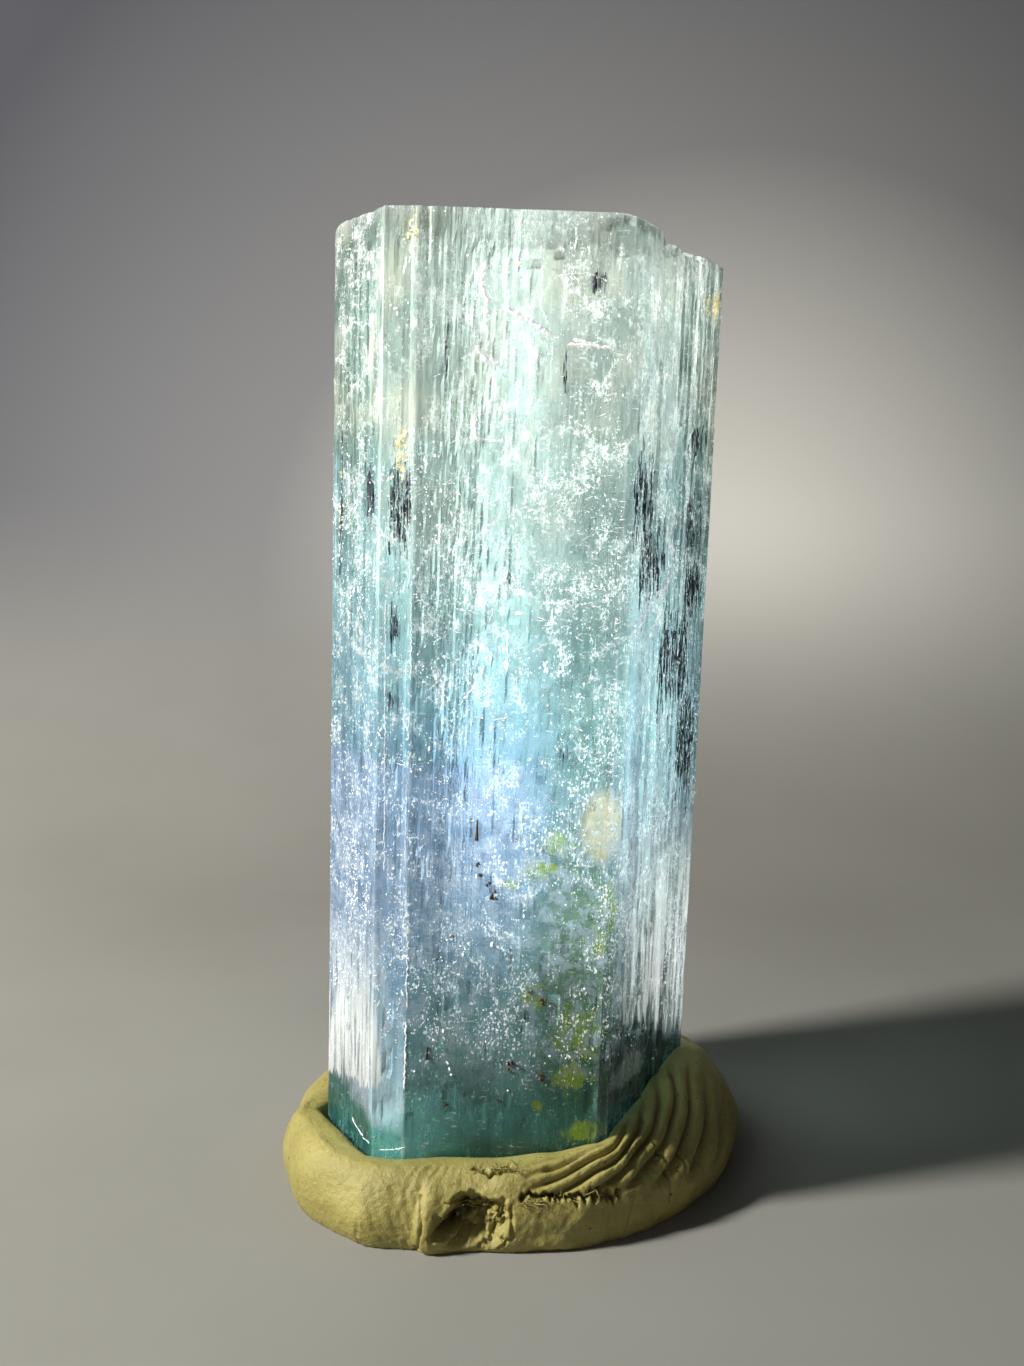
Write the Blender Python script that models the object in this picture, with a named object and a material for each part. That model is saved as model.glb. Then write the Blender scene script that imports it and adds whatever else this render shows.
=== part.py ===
"""An aquamarine crystal standing in a ring of mounting putty.

The crystal is one hexagonal beryl prism: striated side faces, a narrow bevel face beside the front
face, a flat top, a stepped shoulder of fused growth rods on its right side and a broken foot.
The putty is one hand-rolled ring pressed round the foot, with a torn seam, a crack and ridges.

Metres, +Z up. The origin is on the surface that the putty stands on, under the middle of the whole.
"""

import math
import random

import bmesh
import bpy
from mathutils import Matrix, Vector

MM = 0.001

# Every piece and cutter stands this far from the origin, which puts the origin under the middle of
# the whole's bounding box.
PLACE = Vector((0.077, -0.272, 0.0)) * MM

# ---- the crystal -------------------------------------------------------------------------------

CRYSTAL_TOP = 40.8 * MM
CRYSTAL_FOOT = 0.0 * MM
CRYSTAL_AXIS = Vector((-0.5, 0.1)) * MM

# Each side face: the bearing that it faces, in degrees from +X, and its distance from the axis in mm.
# Neighbours among the six wide faces are 60 degrees apart, as in every beryl.
SIDE_FACES = {
    "front": (-88.6, 6.68),
    "right_bevel_low": (-58.6, 7.55),
    "right": (-28.6, 6.68),
    "right_bevel": (1.4, 8.18),
    "back_right": (31.4, 7.62),
    "back": (91.4, 6.78),
    "back_left": (151.4, 5.83),
    "left_bevel": (181.4, 8.12),
    "left": (211.4, 8.27),
    "front_bevel": (261.0, 7.39),
}

# Growth striae, narrow upright treads that step in from the true face: mean width and depth in mm.
STRIAE = {
    "front": (1.15, 0.035),
    "right": (0.62, 0.09),
    "back_right": (0.9, 0.06),
    "back": (0.8, 0.05),
    "back_left": (0.9, 0.07),
    "left": (0.5, 0.06),
}
STRIA_RISER = 0.06 * MM
STRIA_MARGIN = 0.25 * MM
STRIAE_SEED = 7

# The low terrace that stands on the top face.
TERRACE_INSET = 1.3 * MM
TERRACE_RISE = 0.12 * MM

# Breaks of the top's edge and of the foot: a point on the plane and the way it faces, in mm.
TOP_CUTS = (
    ((3.49, -6.48, 40.58), (0.285, -0.104, 1.0)),
    ((3.48, -6.48, 40.54), (0.50, -0.60, 0.75)),
    ((-8.5, -2.6, 40.60), (-0.75, 0.1, 0.65)),
)
FOOT_CUTS = (
    ((-8.55, -2.55, 2.5), (-0.70, 0.35, -0.78)),
    ((5.0, 6.0, 1.0), (0.35, 0.45, -0.82)),
    ((0.0, 6.6, 0.9), (0.0, 0.5, -0.87)),
)

# Growth rods fused along the right face: distance along it from its front edge, half length along it,
# half width across it, how far each stands proud of it, and the height of its domed top, in mm.
RIGHT_FACE_START = Vector((3.49, -6.48)) * MM
RODS = (
    (1.15, 1.30, 0.60, 0.06, 40.42),
    (3.30, 0.82, 0.80, 0.15, 40.27),
    (5.20, 1.18, 1.20, 0.13, 40.17),
    (7.35, 1.05, 0.60, 0.06, 40.16),
)
ROD_SIDES = 16
ROD_FOOT = 1.6 * MM
DOME_STEPS = 3
DOME_HEIGHT = 0.30 * MM

# The step broken out of the top's right edge, which the two middle rods stand in: its ends along the
# right face, its height at the face, and how steeply its floor climbs away from the face.
STEP_START, STEP_END = 2.50 * MM, 6.75 * MM
STEP_HEIGHT = 40.02 * MM
STEP_SLOPE = math.radians(16)

# Etched ledges on the front face: left, right, bottom, top and depth, in mm.
FRONT_LEDGES = (
    (-2.30, 2.10, 37.20, 39.15, 0.14),
    (-0.60, 2.90, 35.95, 37.45, 0.10),
    (-2.70, -0.85, 32.40, 35.80, 0.12),
    (1.15, 3.05, 32.90, 35.75, 0.09),
    (-4.10, -2.95, 34.40, 38.60, 0.08),
)
LEDGE_LEAN = 1.5

# ---- the putty ---------------------------------------------------------------------------------

# Stations round the ring: bearing in degrees, then in mm the outer radius, the height and the gap to
# the crystal, then how far the roll's crest leans in against the crystal, from 0 to 1.
PUTTY_STATIONS = (
    (-178, 10.35, 2.80, 0.60, 0.40),
    (-162, 10.95, 2.90, 0.65, 0.45),
    (-144, 11.25, 3.00, 0.55, 0.45),
    (-128, 10.85, 3.00, 0.35, 0.50),
    (-114, 9.90, 3.10, 0.30, 0.50),
    (-99, 9.05, 3.15, 0.30, 0.50),
    (-80, 8.75, 3.40, 0.30, 0.50),
    (-64, 8.75, 3.80, 0.30, 0.60),
    (-50, 8.95, 4.00, 0.30, 0.80),
    (-36, 9.30, 4.10, 0.30, 0.90),
    (-18, 9.85, 4.50, 0.30, 1.00),
    (3, 10.40, 4.70, 0.30, 1.00),
    (20, 10.50, 4.30, 0.30, 0.90),
    (40, 10.20, 3.70, 0.30, 0.70),
    (65, 9.95, 3.40, 0.30, 0.50),
    (90, 9.75, 3.30, 0.30, 0.40),
    (120, 9.80, 3.20, 0.35, 0.40),
    (150, 9.80, 2.95, 0.50, 0.40),
)
RING_SEGMENTS = 108
ROLL_SEGMENTS = 34
ROLL_BELLY = 0.40
ROLL_SQUARENESS = 0.80
ROLL_RADIUS = 1.7 * MM
# Where the ring's segments are closest together, and how strongly they crowd there.
FINE_BEARING, FINE_RING = math.radians(-72), 0.58

# Pressed ridges along the right of the front, which climb the roll as they go. The rows of the roll's
# mesh twist with them, so that every second row is a groove.
RIDGE_START, RIDGE_END = math.radians(-90), math.radians(4)
RIDGE_FLOOR_START, RIDGE_FLOOR_END = 0.75 * MM, -0.7 * MM
RIDGE_DEPTH = 0.17 * MM
RIDGE_TWIST = 2.3
UNTWIST_END = math.radians(160)

# The torn pit where the roll's ends meet, the folded lip on its left, and the crack on its right.
PIT_BEARING, PIT_HALF_WIDTH = math.radians(-101), math.radians(9)
PIT_UP, PIT_HALF_HEIGHT = 0.15 * MM, 1.0 * MM
PIT_DEPTH = 0.85 * MM
LIP_BEARING, LIP_HALF_WIDTH = math.radians(-112.5), math.radians(2.6)
LIP_UP, LIP_HALF_HEIGHT = 0.0 * MM, 1.5 * MM
LIP_RISE = 0.20 * MM
CRACK_START, CRACK_END = math.radians(-92), math.radians(-62)
CRACK_UP, CRACK_HALF_HEIGHT = 0.62 * MM, 0.42 * MM
CRACK_DEPTH = 0.42 * MM


# ---- helpers -----------------------------------------------------------------------------------


def clear_scene():
    for obj in list(bpy.data.objects):
        bpy.data.objects.remove(obj)


def collection(name):
    made = bpy.data.collections.new(name)
    bpy.context.scene.collection.children.link(made)
    return made


def material(name, colour, roughness, transmission=0.0, ior=1.5):
    made = bpy.data.materials.new(name)
    made.use_nodes = True
    shader = made.node_tree.nodes["Principled BSDF"]
    shader.inputs["Base Color"].default_value = (*colour, 1.0)
    shader.inputs["Roughness"].default_value = roughness
    shader.inputs["Metallic"].default_value = 0.0
    shader.inputs["Transmission Weight"].default_value = transmission
    shader.inputs["IOR"].default_value = ior
    return made


def object_of(bm, name, into):
    mesh = bpy.data.meshes.new(name)
    bm.normal_update()
    bm.to_mesh(mesh)
    bm.free()
    made = bpy.data.objects.new(name, mesh)
    made.location = PLACE
    into.objects.link(made)
    return made


def hide_helper(obj):
    obj.hide_render = True
    obj.display_type = "WIRE"


def add_boolean(obj, other, operation):
    modifier = obj.modifiers.new(f"{operation.title()}_{other.name}", "BOOLEAN")
    modifier.operation = operation
    modifier.object = other
    modifier.solver = "EXACT"


def direction(bearing_degrees):
    bearing = math.radians(bearing_degrees)
    return Vector((math.cos(bearing), math.sin(bearing)))


# ---- the crystal's outline ---------------------------------------------------------------------


def corner_between(first, second):
    """The point where two side faces' lines cross, as seen from above."""
    (n1, d1), (n2, d2) = first, second
    across = n1.x * n2.y - n1.y * n2.x
    x = (d1 * n2.y - d2 * n1.y) / across
    y = (n1.x * d2 - n2.x * d1) / across
    return CRYSTAL_AXIS + Vector((x, y))


def side_lines():
    return [(name, (direction(b), d * MM)) for name, (b, d) in SIDE_FACES.items()]


def side_corners():
    """{face name: (its first corner, its last corner)}, anticlockwise seen from above."""
    lines = side_lines()
    found = {}
    for i, (name, line) in enumerate(lines):
        before, after = lines[i - 1][1], lines[(i + 1) % len(lines)][1]
        found[name] = (corner_between(before, line), corner_between(line, after))
    return found


def striated_side(start, end, inward, width, depth, rng):
    """Points along one side, in treads of uneven width and depth."""
    length = (end - start).length
    along = (end - start) / length
    points = [start]
    place = STRIA_MARGIN
    while place < length - STRIA_MARGIN - STRIA_RISER:
        step = min(width * rng.uniform(0.45, 1.6), length - STRIA_MARGIN - place)
        inset = inward * (depth * rng.uniform(0.15, 1.7))
        points.append(start + along * (place + STRIA_RISER) + inset)
        points.append(start + along * (place + step) + inset)
        place += step
    return points


def crystal_outline():
    rng = random.Random(STRIAE_SEED)
    points = []
    lines = dict(side_lines())
    for name, (start, end) in side_corners().items():
        if name in STRIAE:
            width, depth = STRIAE[name]
            inward = -lines[name][0]
            points += striated_side(start, end, inward, width * MM, depth * MM, rng)
        else:
            points.append(start)
    return points


def six_sided_outline(margin):
    """The outline of the six wide faces alone, moved out by margin."""
    lines = [(n, d + margin) for name, (n, d) in side_lines() if name in STRIAE]
    return [corner_between(lines[i - 1], lines[i]) for i in range(len(lines))]


def prism(points, bottom, top):
    bm = bmesh.new()
    floor = bm.faces.new([bm.verts.new((p.x, p.y, bottom)) for p in points])
    raised = bmesh.ops.extrude_face_region(bm, geom=[floor])["geom"]
    lifted = [v for v in raised if isinstance(v, bmesh.types.BMVert)]
    bmesh.ops.translate(bm, vec=(0, 0, top - bottom), verts=lifted)
    bmesh.ops.recalc_face_normals(bm, faces=bm.faces)
    return bm


def cut_flat(bm, point, facing):
    """Breaks off what lies beyond a plane and closes the break with one face."""
    everything = bm.verts[:] + bm.edges[:] + bm.faces[:]
    cut = bmesh.ops.bisect_plane(
        bm,
        geom=everything,
        plane_co=point,
        plane_no=facing,
        clear_outer=True,
        dist=1e-7,
    )
    rim = [e for e in cut["geom_cut"] if isinstance(e, bmesh.types.BMEdge)]
    if rim:
        bmesh.ops.edgeloop_fill(bm, edges=rim)
        bmesh.ops.recalc_face_normals(bm, faces=bm.faces)


# ---- the crystal's pieces ----------------------------------------------------------------------


def make_terrace(into):
    """The low step on the top face, which the crystal is joined to."""
    edge = six_sided_outline(-TERRACE_INSET)
    bm = prism(edge, CRYSTAL_TOP - 1 * MM, CRYSTAL_TOP + TERRACE_RISE)
    for point, facing in TOP_CUTS:
        reach = Vector(facing).normalized() * (0.35 * MM)
        cut_flat(bm, Vector(point) * MM - reach, facing)
    terrace = object_of(bm, "Terrace_helper", into)
    hide_helper(terrace)
    return terrace


def make_rod(index, along, half_length, half_width, proud, top, into):
    """One growth rod of the right face, with a domed end, for the crystal to be joined to."""
    outward = direction(SIDE_FACES["right"][0])
    forward = direction(SIDE_FACES["right"][0] + 90)
    centre = RIGHT_FACE_START + forward * along + outward * (proud - half_width)
    bm = bmesh.new()
    bmesh.ops.create_cone(
        bm,
        cap_ends=True,
        segments=ROD_SIDES,
        radius1=MM,
        radius2=MM,
        depth=top - ROD_FOOT,
    )
    bmesh.ops.translate(bm, vec=(0, 0, (top + ROD_FOOT) / 2), verts=bm.verts)
    rim = [e for e in bm.edges if all(abs(v.co.z - top) < 1e-6 for v in e.verts)]
    bmesh.ops.bevel(
        bm,
        geom=rim,
        offset=DOME_HEIGHT,
        segments=DOME_STEPS,
        profile=0.5,
        affect="EDGES",
        material=-1,
    )
    shape = Matrix.Diagonal((half_width / MM, half_length / MM, 1.0, 1.0))
    turn = Matrix.Rotation(math.radians(SIDE_FACES["right"][0]), 4, "Z")
    bm.transform(Matrix.Translation((centre.x, centre.y, 0)) @ turn @ shape)
    rod = object_of(bm, f"Rod_helper_{index}", into)
    hide_helper(rod)
    return rod


def make_step(into):
    """The block that breaks the step out of the top's right edge, to be cut from the crystal."""
    bearing = SIDE_FACES["right"][0]
    forward = direction(bearing + 90)
    outer = RIGHT_FACE_START + forward * ((STEP_START + STEP_END) / 2)
    size = (7 * MM, STEP_END - STEP_START, 2 * MM)
    bm = bmesh.new()
    bmesh.ops.create_cube(bm, size=1.0, matrix=Matrix.Diagonal((*size, 1.0)))
    bmesh.ops.translate(bm, vec=(0, 0, size[2] / 2), verts=bm.verts)
    turn = Matrix.Rotation(math.radians(bearing), 4, "Z") @ Matrix.Rotation(STEP_SLOPE, 4, "Y")
    bm.transform(Matrix.Translation((outer.x, outer.y, STEP_HEIGHT)) @ turn)
    step = object_of(bm, "Step_cutter", into)
    hide_helper(step)
    return step


def make_ledge(index, left, right, bottom, top, depth, into):
    """A shallow etched step in the front face: a thin block, cut out of the crystal."""
    outward = direction(SIDE_FACES["front"][0])
    face_distance = SIDE_FACES["front"][1] * MM
    size = (right - left, 2 * depth, top - bottom)
    bm = bmesh.new()
    bmesh.ops.create_cube(bm, size=1.0, matrix=Matrix.Diagonal((*size, 1.0)))
    lean = math.radians(LEDGE_LEAN if index % 2 else -LEDGE_LEAN)
    turn = Matrix.Rotation(math.radians(SIDE_FACES["front"][0] + 90), 4, "Z")
    bm.transform(turn @ Matrix.Rotation(lean, 4, "Y"))
    middle = CRYSTAL_AXIS + outward * face_distance
    place = (middle.x + (left + right) / 2, middle.y, (bottom + top) / 2)
    bmesh.ops.translate(bm, vec=place, verts=bm.verts)
    ledge = object_of(bm, f"Ledge_cutter_{index}", into)
    hide_helper(ledge)
    return ledge


def make_crystal(into, helpers):
    bm = prism(crystal_outline(), CRYSTAL_FOOT, CRYSTAL_TOP)
    for point, facing in TOP_CUTS + FOOT_CUTS:
        cut_flat(bm, Vector(point) * MM, facing)
    crystal = object_of(bm, "crystal", into)
    add_boolean(crystal, make_terrace(helpers), "UNION")
    add_boolean(crystal, make_step(helpers), "DIFFERENCE")
    for i, sizes in enumerate(RODS):
        rod = make_rod(i, *(size * MM for size in sizes), helpers)
        add_boolean(crystal, rod, "UNION")
    for i, sizes in enumerate(FRONT_LEDGES):
        ledge = make_ledge(i, *(size * MM for size in sizes), helpers)
        add_boolean(crystal, ledge, "DIFFERENCE")
    aqua = (0.42, 0.72, 0.74)
    crystal.data.materials.append(material("Aquamarine", aqua, 0.12, 0.85, 1.575))
    return crystal


# ---- the putty ring ----------------------------------------------------------------------------


def smooth(share):
    share = min(1.0, max(0.0, share))
    return share * share * (3 - 2 * share)


def station_values(bearing):
    """Outer radius, height, gap and lean of the roll at a bearing in radians, eased between stations."""
    turn = math.tau
    stations = [(math.radians(s[0]), s[1] * MM, s[2] * MM, s[3] * MM, s[4]) for s in PUTTY_STATIONS]
    place = stations[0][0] + (bearing - stations[0][0]) % turn
    for i, low in enumerate(stations):
        last = i + 1 == len(stations)
        high = stations[0] if last else stations[i + 1]
        end = high[0] + (turn if last else 0.0)
        if place <= end:
            share = smooth((place - low[0]) / (end - low[0]))
            return [a + (b - a) * share for a, b in zip(low[1:], high[1:])]
    return stations[0][1:]


def crystal_reach(bearing):
    """How far the crystal's plain outline is from the origin along a bearing."""
    along = Vector((math.cos(bearing), math.sin(bearing)))
    reach = math.inf
    for _, (normal, distance) in side_lines():
        facing = normal.dot(along)
        if facing > 1e-6:
            reach = min(reach, (distance + normal.dot(CRYSTAL_AXIS)) / facing)
    return reach


def rounded(value):
    """A sine or cosine, pushed out so that the roll is a little square in section."""
    return math.copysign(abs(value) ** ROLL_SQUARENESS, value)


def bump(value, centre, half_width):
    """1 at the centre, easing to 0 at the half width."""
    return smooth(1.0 - abs(value - centre) / half_width)


def twist(bearing):
    """How far the rows of the roll's mesh have turned round its section at a bearing."""
    if bearing < RIDGE_START or bearing > UNTWIST_END:
        return 0.0
    if bearing < RIDGE_END:
        return RIDGE_TWIST * (bearing - RIDGE_START) / (RIDGE_END - RIDGE_START)
    return RIDGE_TWIST * (1.0 - smooth((bearing - RIDGE_END) / (UNTWIST_END - RIDGE_END)))


def groove(bearing, up):
    """How deep the grooves between the pressed ridges are."""
    share = (bearing - RIDGE_START) / (RIDGE_END - RIDGE_START)
    if not 0.0 < share < 1.0:
        return 0.0
    floor = RIDGE_FLOOR_START + (RIDGE_FLOOR_END - RIDGE_FLOOR_START) * share
    ends = smooth(share / 0.12) * smooth((1.0 - share) / 0.30)
    return RIDGE_DEPTH * ends * smooth((up - floor) / (0.3 * MM))


def tear(bearing, up):
    """How far the torn pit and its crack sink into the roll, less the rise of the lip beside them."""
    across = (bearing - PIT_BEARING) / PIT_HALF_WIDTH
    along = (up - PIT_UP) / PIT_HALF_HEIGHT
    depth = PIT_DEPTH * smooth(1.35 - math.hypot(across, along))
    lip = bump(bearing, LIP_BEARING, LIP_HALF_WIDTH) * bump(up, LIP_UP, LIP_HALF_HEIGHT)
    if CRACK_START < bearing < CRACK_END:
        ends = smooth((bearing - CRACK_START) / 0.06) * smooth((CRACK_END - bearing) / 0.3)
        depth = max(depth, CRACK_DEPTH * ends * bump(up, CRACK_UP, CRACK_HALF_HEIGHT))
    return depth - LIP_RISE * lip


def roll_point(bearing, row):
    """A point of the putty roll at a bearing round the ring and on a row round its section."""
    angle = math.remainder(math.tau * row / ROLL_SEGMENTS + twist(bearing), math.tau)
    outer, height, gap, lean = station_values(bearing)
    inner = crystal_reach(bearing) + gap
    half_width = (outer - inner) / 2
    belly = height * ROLL_BELLY
    rise = (height - belly) if math.sin(angle) > 0 else belly * 1.25
    z = belly + rise * rounded(math.sin(angle))
    radius = inner + half_width + half_width * rounded(math.cos(angle))
    radius = radius - lean * half_width * max(0.0, math.sin(angle))
    if math.cos(angle) > 0:
        up = ROLL_RADIUS * angle
        dent = tear(bearing, up) + (groove(bearing, up) if row % 2 else 0.0)
        dent *= smooth(math.cos(angle) * 4)
        radius -= dent * math.cos(angle)
        z -= dent * math.sin(angle)
    radius = max(inner, radius)
    return radius * math.cos(bearing), radius * math.sin(bearing), max(0.0, z)


def bearing_of(segment):
    """The bearing of a segment of the ring, with the segments crowded round the detailed front."""
    angle = math.tau * segment / RING_SEGMENTS
    return math.remainder(FINE_BEARING + angle - FINE_RING * math.sin(angle), math.tau)


def make_putty(into):
    bpy.ops.mesh.primitive_torus_add(
        major_segments=RING_SEGMENTS,
        minor_segments=ROLL_SEGMENTS,
        major_radius=9 * MM,
        minor_radius=1.5 * MM,
    )
    putty = bpy.context.active_object
    for holder in list(putty.users_collection):
        holder.objects.unlink(putty)
    into.objects.link(putty)
    putty.name = "putty_ring"
    putty.location = PLACE
    for vertex in putty.data.vertices:
        segment, row = divmod(vertex.index, ROLL_SEGMENTS)
        vertex.co = roll_point(bearing_of(segment), row)
    cream = (0.66, 0.60, 0.42)
    putty.data.materials.append(material("Putty", cream, 0.6))
    return putty


def build():
    clear_scene()
    parts = collection("Aquamarine_crystal_on_putty")
    helpers = collection("Helpers")
    crystal = make_crystal(parts, helpers)
    putty = make_putty(parts)
    for piece in (crystal, putty):
        piece.data.shade_smooth()
        piece.data.set_sharp_from_angle(angle=math.radians(25))


build()
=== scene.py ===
"""The looks of an aquamarine crystal that stands in a ring of mounting putty.

Lengths are in millimetres in the specimen's own frame until a piece is finished; settle() then puts it
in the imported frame, in metres. The crystal is one finely striated shell of cloudy stone. Its healed
fractures lie close under the faces, and its flakes, plate edges, tubes and mineral grains lie on them.
The putty is one hand-rolled ring with the strands torn from it.
"""

import bisect
import functools
import math
import random

import bmesh
import bpy
from mathutils import Matrix, Vector, noise


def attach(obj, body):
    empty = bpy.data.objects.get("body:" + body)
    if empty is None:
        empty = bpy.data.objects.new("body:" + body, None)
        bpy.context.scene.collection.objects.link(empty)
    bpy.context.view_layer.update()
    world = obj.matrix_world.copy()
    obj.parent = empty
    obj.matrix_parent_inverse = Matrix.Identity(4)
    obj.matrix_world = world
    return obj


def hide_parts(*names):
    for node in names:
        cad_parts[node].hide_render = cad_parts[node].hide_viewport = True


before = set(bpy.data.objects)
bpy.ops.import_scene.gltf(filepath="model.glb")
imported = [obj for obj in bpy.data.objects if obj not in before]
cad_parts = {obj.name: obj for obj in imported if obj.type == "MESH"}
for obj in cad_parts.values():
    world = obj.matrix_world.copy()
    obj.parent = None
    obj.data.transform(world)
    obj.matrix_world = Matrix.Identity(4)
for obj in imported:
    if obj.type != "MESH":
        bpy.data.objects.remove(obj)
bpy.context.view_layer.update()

MM = 0.001
PLACE = Vector((0.077, -0.272, 0.0)) * MM

# ---- the crystal's sizes -----------------------------------------------------------------------

CRYSTAL_TOP = 40.8
AXIS = Vector((-0.5, 0.1))

# Each side face: the bearing that it faces, in degrees from +X, and its distance from the axis.
SIDE_FACES = {
    "front": (-88.6, 6.68),
    "right_bevel_low": (-58.6, 7.55),
    "right": (-28.6, 6.68),
    "right_bevel": (1.4, 8.18),
    "back_right": (31.4, 7.62),
    "back": (91.4, 6.78),
    "back_left": (151.4, 5.83),
    "left_bevel": (181.4, 8.12),
    "left": (211.4, 8.27),
    "front_bevel": (261.0, 7.39),
}

# Planes that break the top's edge and the foot: a point on each and the way it faces.
TOP_BREAKS = (
    ((3.49, -6.48, 40.58), (0.285, -0.104, 1.0)),
    ((3.48, -6.48, 40.54), (0.50, -0.60, 0.75)),
    ((-8.5, -2.6, 40.60), (-0.75, 0.1, 0.65)),
)
FOOT_BREAKS = (
    ((-8.55, -2.55, 2.5), (-0.70, 0.35, -0.78)),
    ((5.0, 6.0, 1.0), (0.35, 0.45, -0.82)),
    ((0.0, 6.6, 0.9), (0.0, 0.5, -0.87)),
)

# Growth rods of the right face: distance along it, half length, half width, how far each stands proud
# of the face, and the height of its domed top.
RIGHT_FACE_START = Vector((3.49, -6.48))
RODS = (
    (1.15, 1.30, 0.60, 0.06, 40.42),
    (3.30, 0.82, 0.80, 0.15, 40.27),
    (5.20, 1.18, 1.20, 0.13, 40.17),
    (7.35, 1.05, 0.60, 0.06, 40.16),
)
DOME_DROP = 0.30
STEP_START, STEP_END = 2.50, 6.75
STEP_HEIGHT, STEP_SLOPE = 40.02, math.tan(math.radians(16))

# The shell's mesh: the spacing of its columns, its rows, and the rings of its top and foot.
COLUMN = 0.095
ROWS = 116
TOP_RINGS, FOOT_RINGS = 30, 8

# Striae of each side face: mean width and depth of the coarse treads, depth of the fine ones, and the
# share of the face that is etched.
STRIAE = {
    "front": (0.95, 0.026, 0.015, 0.34),
    "right_bevel_low": (0.35, 0.02, 0.02, 0.15),
    "right": (0.55, 0.075, 0.05, 0.40),
    "right_bevel": (0.40, 0.02, 0.02, 0.15),
    "back_right": (0.80, 0.06, 0.05, 0.35),
    "back": (0.80, 0.05, 0.05, 0.35),
    "back_left": (0.80, 0.06, 0.05, 0.35),
    "left_bevel": (0.40, 0.02, 0.02, 0.15),
    "left": (0.45, 0.05, 0.04, 0.18),
    "front_bevel": (0.40, 0.02, 0.015, 0.10),
}

# ---- small tools -------------------------------------------------------------------------------


def direction(bearing_degrees):
    bearing = math.radians(bearing_degrees)
    return Vector((math.cos(bearing), math.sin(bearing)))


def smooth(share):
    share = min(1.0, max(0.0, share))
    return share * share * (3 - 2 * share)


def chance(*keys):
    """A number from 0 to 1 that looks random and is the same for the same keys."""
    value = 12.9898
    for key in keys:
        value = math.sin(value * 78.233 + key * 37.719) * 43758.5453
        value -= math.floor(value)
    return value


def grow(bm, edges):
    """Extrudes a line or a ring of edges, and gives the new one's vertices and edges."""
    made = bmesh.ops.extrude_edge_only(bm, edges=edges)["geom"]
    verts = [v for v in made if isinstance(v, bmesh.types.BMVert)]
    rim = set(verts)
    return verts, [e for e in made if isinstance(e, bmesh.types.BMEdge) and set(e.verts) <= rim]


def jolt(rng):
    """A random offset of up to 1 either way along each axis."""
    return Vector([rng.uniform(-1, 1) for _ in range(3)])


def object_of(bm, name, material, smooth_shaded):
    """Makes an object of a mesh in the making."""
    for face in bm.faces:
        face.smooth = smooth_shaded
    mesh = bpy.data.meshes.new(name)
    bm.to_mesh(mesh)
    bm.free()
    mesh.materials.append(material)
    made = bpy.data.objects.new(name, mesh)
    bpy.context.scene.collection.objects.link(made)
    return made


def settle(bm, name, material, smooth_shaded=False):
    """Finishes a piece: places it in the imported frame, and has it ride with the specimen."""
    bm.transform(Matrix.Translation(PLACE) @ Matrix.Scale(MM, 4))
    bmesh.ops.recalc_face_normals(bm, faces=bm.faces)
    piece = object_of(bm, name, material, smooth_shaded)
    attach(piece, "root")
    return piece


# ---- the crystal's form ------------------------------------------------------------------------


def corner_between(first, second):
    """The point where two side faces' lines cross, as seen from above."""
    (n1, d1), (n2, d2) = first, second
    across = n1.x * n2.y - n1.y * n2.x
    x = (d1 * n2.y - d2 * n1.y) / across
    y = (n1.x * d2 - n2.x * d1) / across
    return AXIS + Vector((x, y))


def treads(length, width, rng):
    """Where each tread of a striated face ends, and how deep it lies as a share of the mean."""
    ends, depths = [], []
    place = 0.0
    while place < length:
        place += width * rng.uniform(0.4, 1.7)
        ends.append(place)
        depths.append(rng.uniform(0.0, 1.8))
    return ends, depths


class Side:
    """One side face of the prism, with its striae."""

    def __init__(self, name, start, end, rng):
        self.name, self.start = name, start
        self.length = (end - start).length
        self.forward = (end - start) / self.length
        self.outward = direction(SIDE_FACES[name][0])
        self.width, self.coarse, self.fine, self.etched = STRIAE[name]
        self.seed = rng.random() * 100
        self.coarse_treads = treads(self.length, self.width, rng)
        self.fine_treads = treads(self.length, 0.16, rng)
        self.runs = [rng.uniform(1.5, 9.0) for _ in self.fine_treads[0]]

    def miss(self, spot):
        """How far past either end of the face a spot is."""
        along = (spot - self.start).dot(self.forward)
        return max(0.0, -along, along - self.length)

    def sunk(self, along, height):
        """How far the surface lies inside the face's true plane."""
        if along < 1e-6:
            return self.edge_wear(height)
        ends, depths = self.coarse_treads
        strength = self.wear(height)
        depth = self.coarse * strength * depths[bisect.bisect_left(ends, along)]
        ends, depths = self.fine_treads
        tread = bisect.bisect_left(ends, along)
        run = math.floor(height / self.runs[tread] + tread * 0.37)
        depth += self.fine * strength * chance(self.seed, tread, run) ** 2 * 1.6
        depth += self.pit(along, height, 0.42, 1.10, 0.075) + self.pit(along, height, 0.2, 0.5, 0.035)
        depth += 0.004 * strength * chance(self.seed, along, height)
        if self.name == "right":
            depth = min([depth] + [self.rod_surface(rod, along) + depth * 0.6 for rod in RODS])
        return depth * smooth(min(along, self.length - along) / 0.25)

    def edge_wear(self, height):
        return 0.03 * max(0.0, noise.noise(Vector((self.seed, self.start.x, height * 0.9))))

    def pit(self, along, height, width, tall, depth):
        """An etched rectangle, sunk in the face where its cell draws a low number."""
        row = math.floor(height / tall + chance(self.seed, math.floor(along / width)))
        column = math.floor(along / width)
        draw = chance(self.seed + width, column, row)
        share = self.etched * self.wear(height)
        return depth * (1 - draw / share) if draw < share else 0.0

    def wear(self, height):
        """How strongly the face is striated and etched at a height: most near the top."""
        if self.name == "front":
            return 0.12 + 0.88 * smooth((height - 8) / 20)
        return 0.7 + 0.3 * smooth((height - 20) / 15)

    @staticmethod
    def rod_surface(rod, along):
        place, half_length, half_width, proud, _ = rod
        across = (along - place) / half_length
        if abs(across) >= 1:
            return math.inf
        return half_width * (1 - math.sqrt(1 - across * across)) - proud


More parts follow.
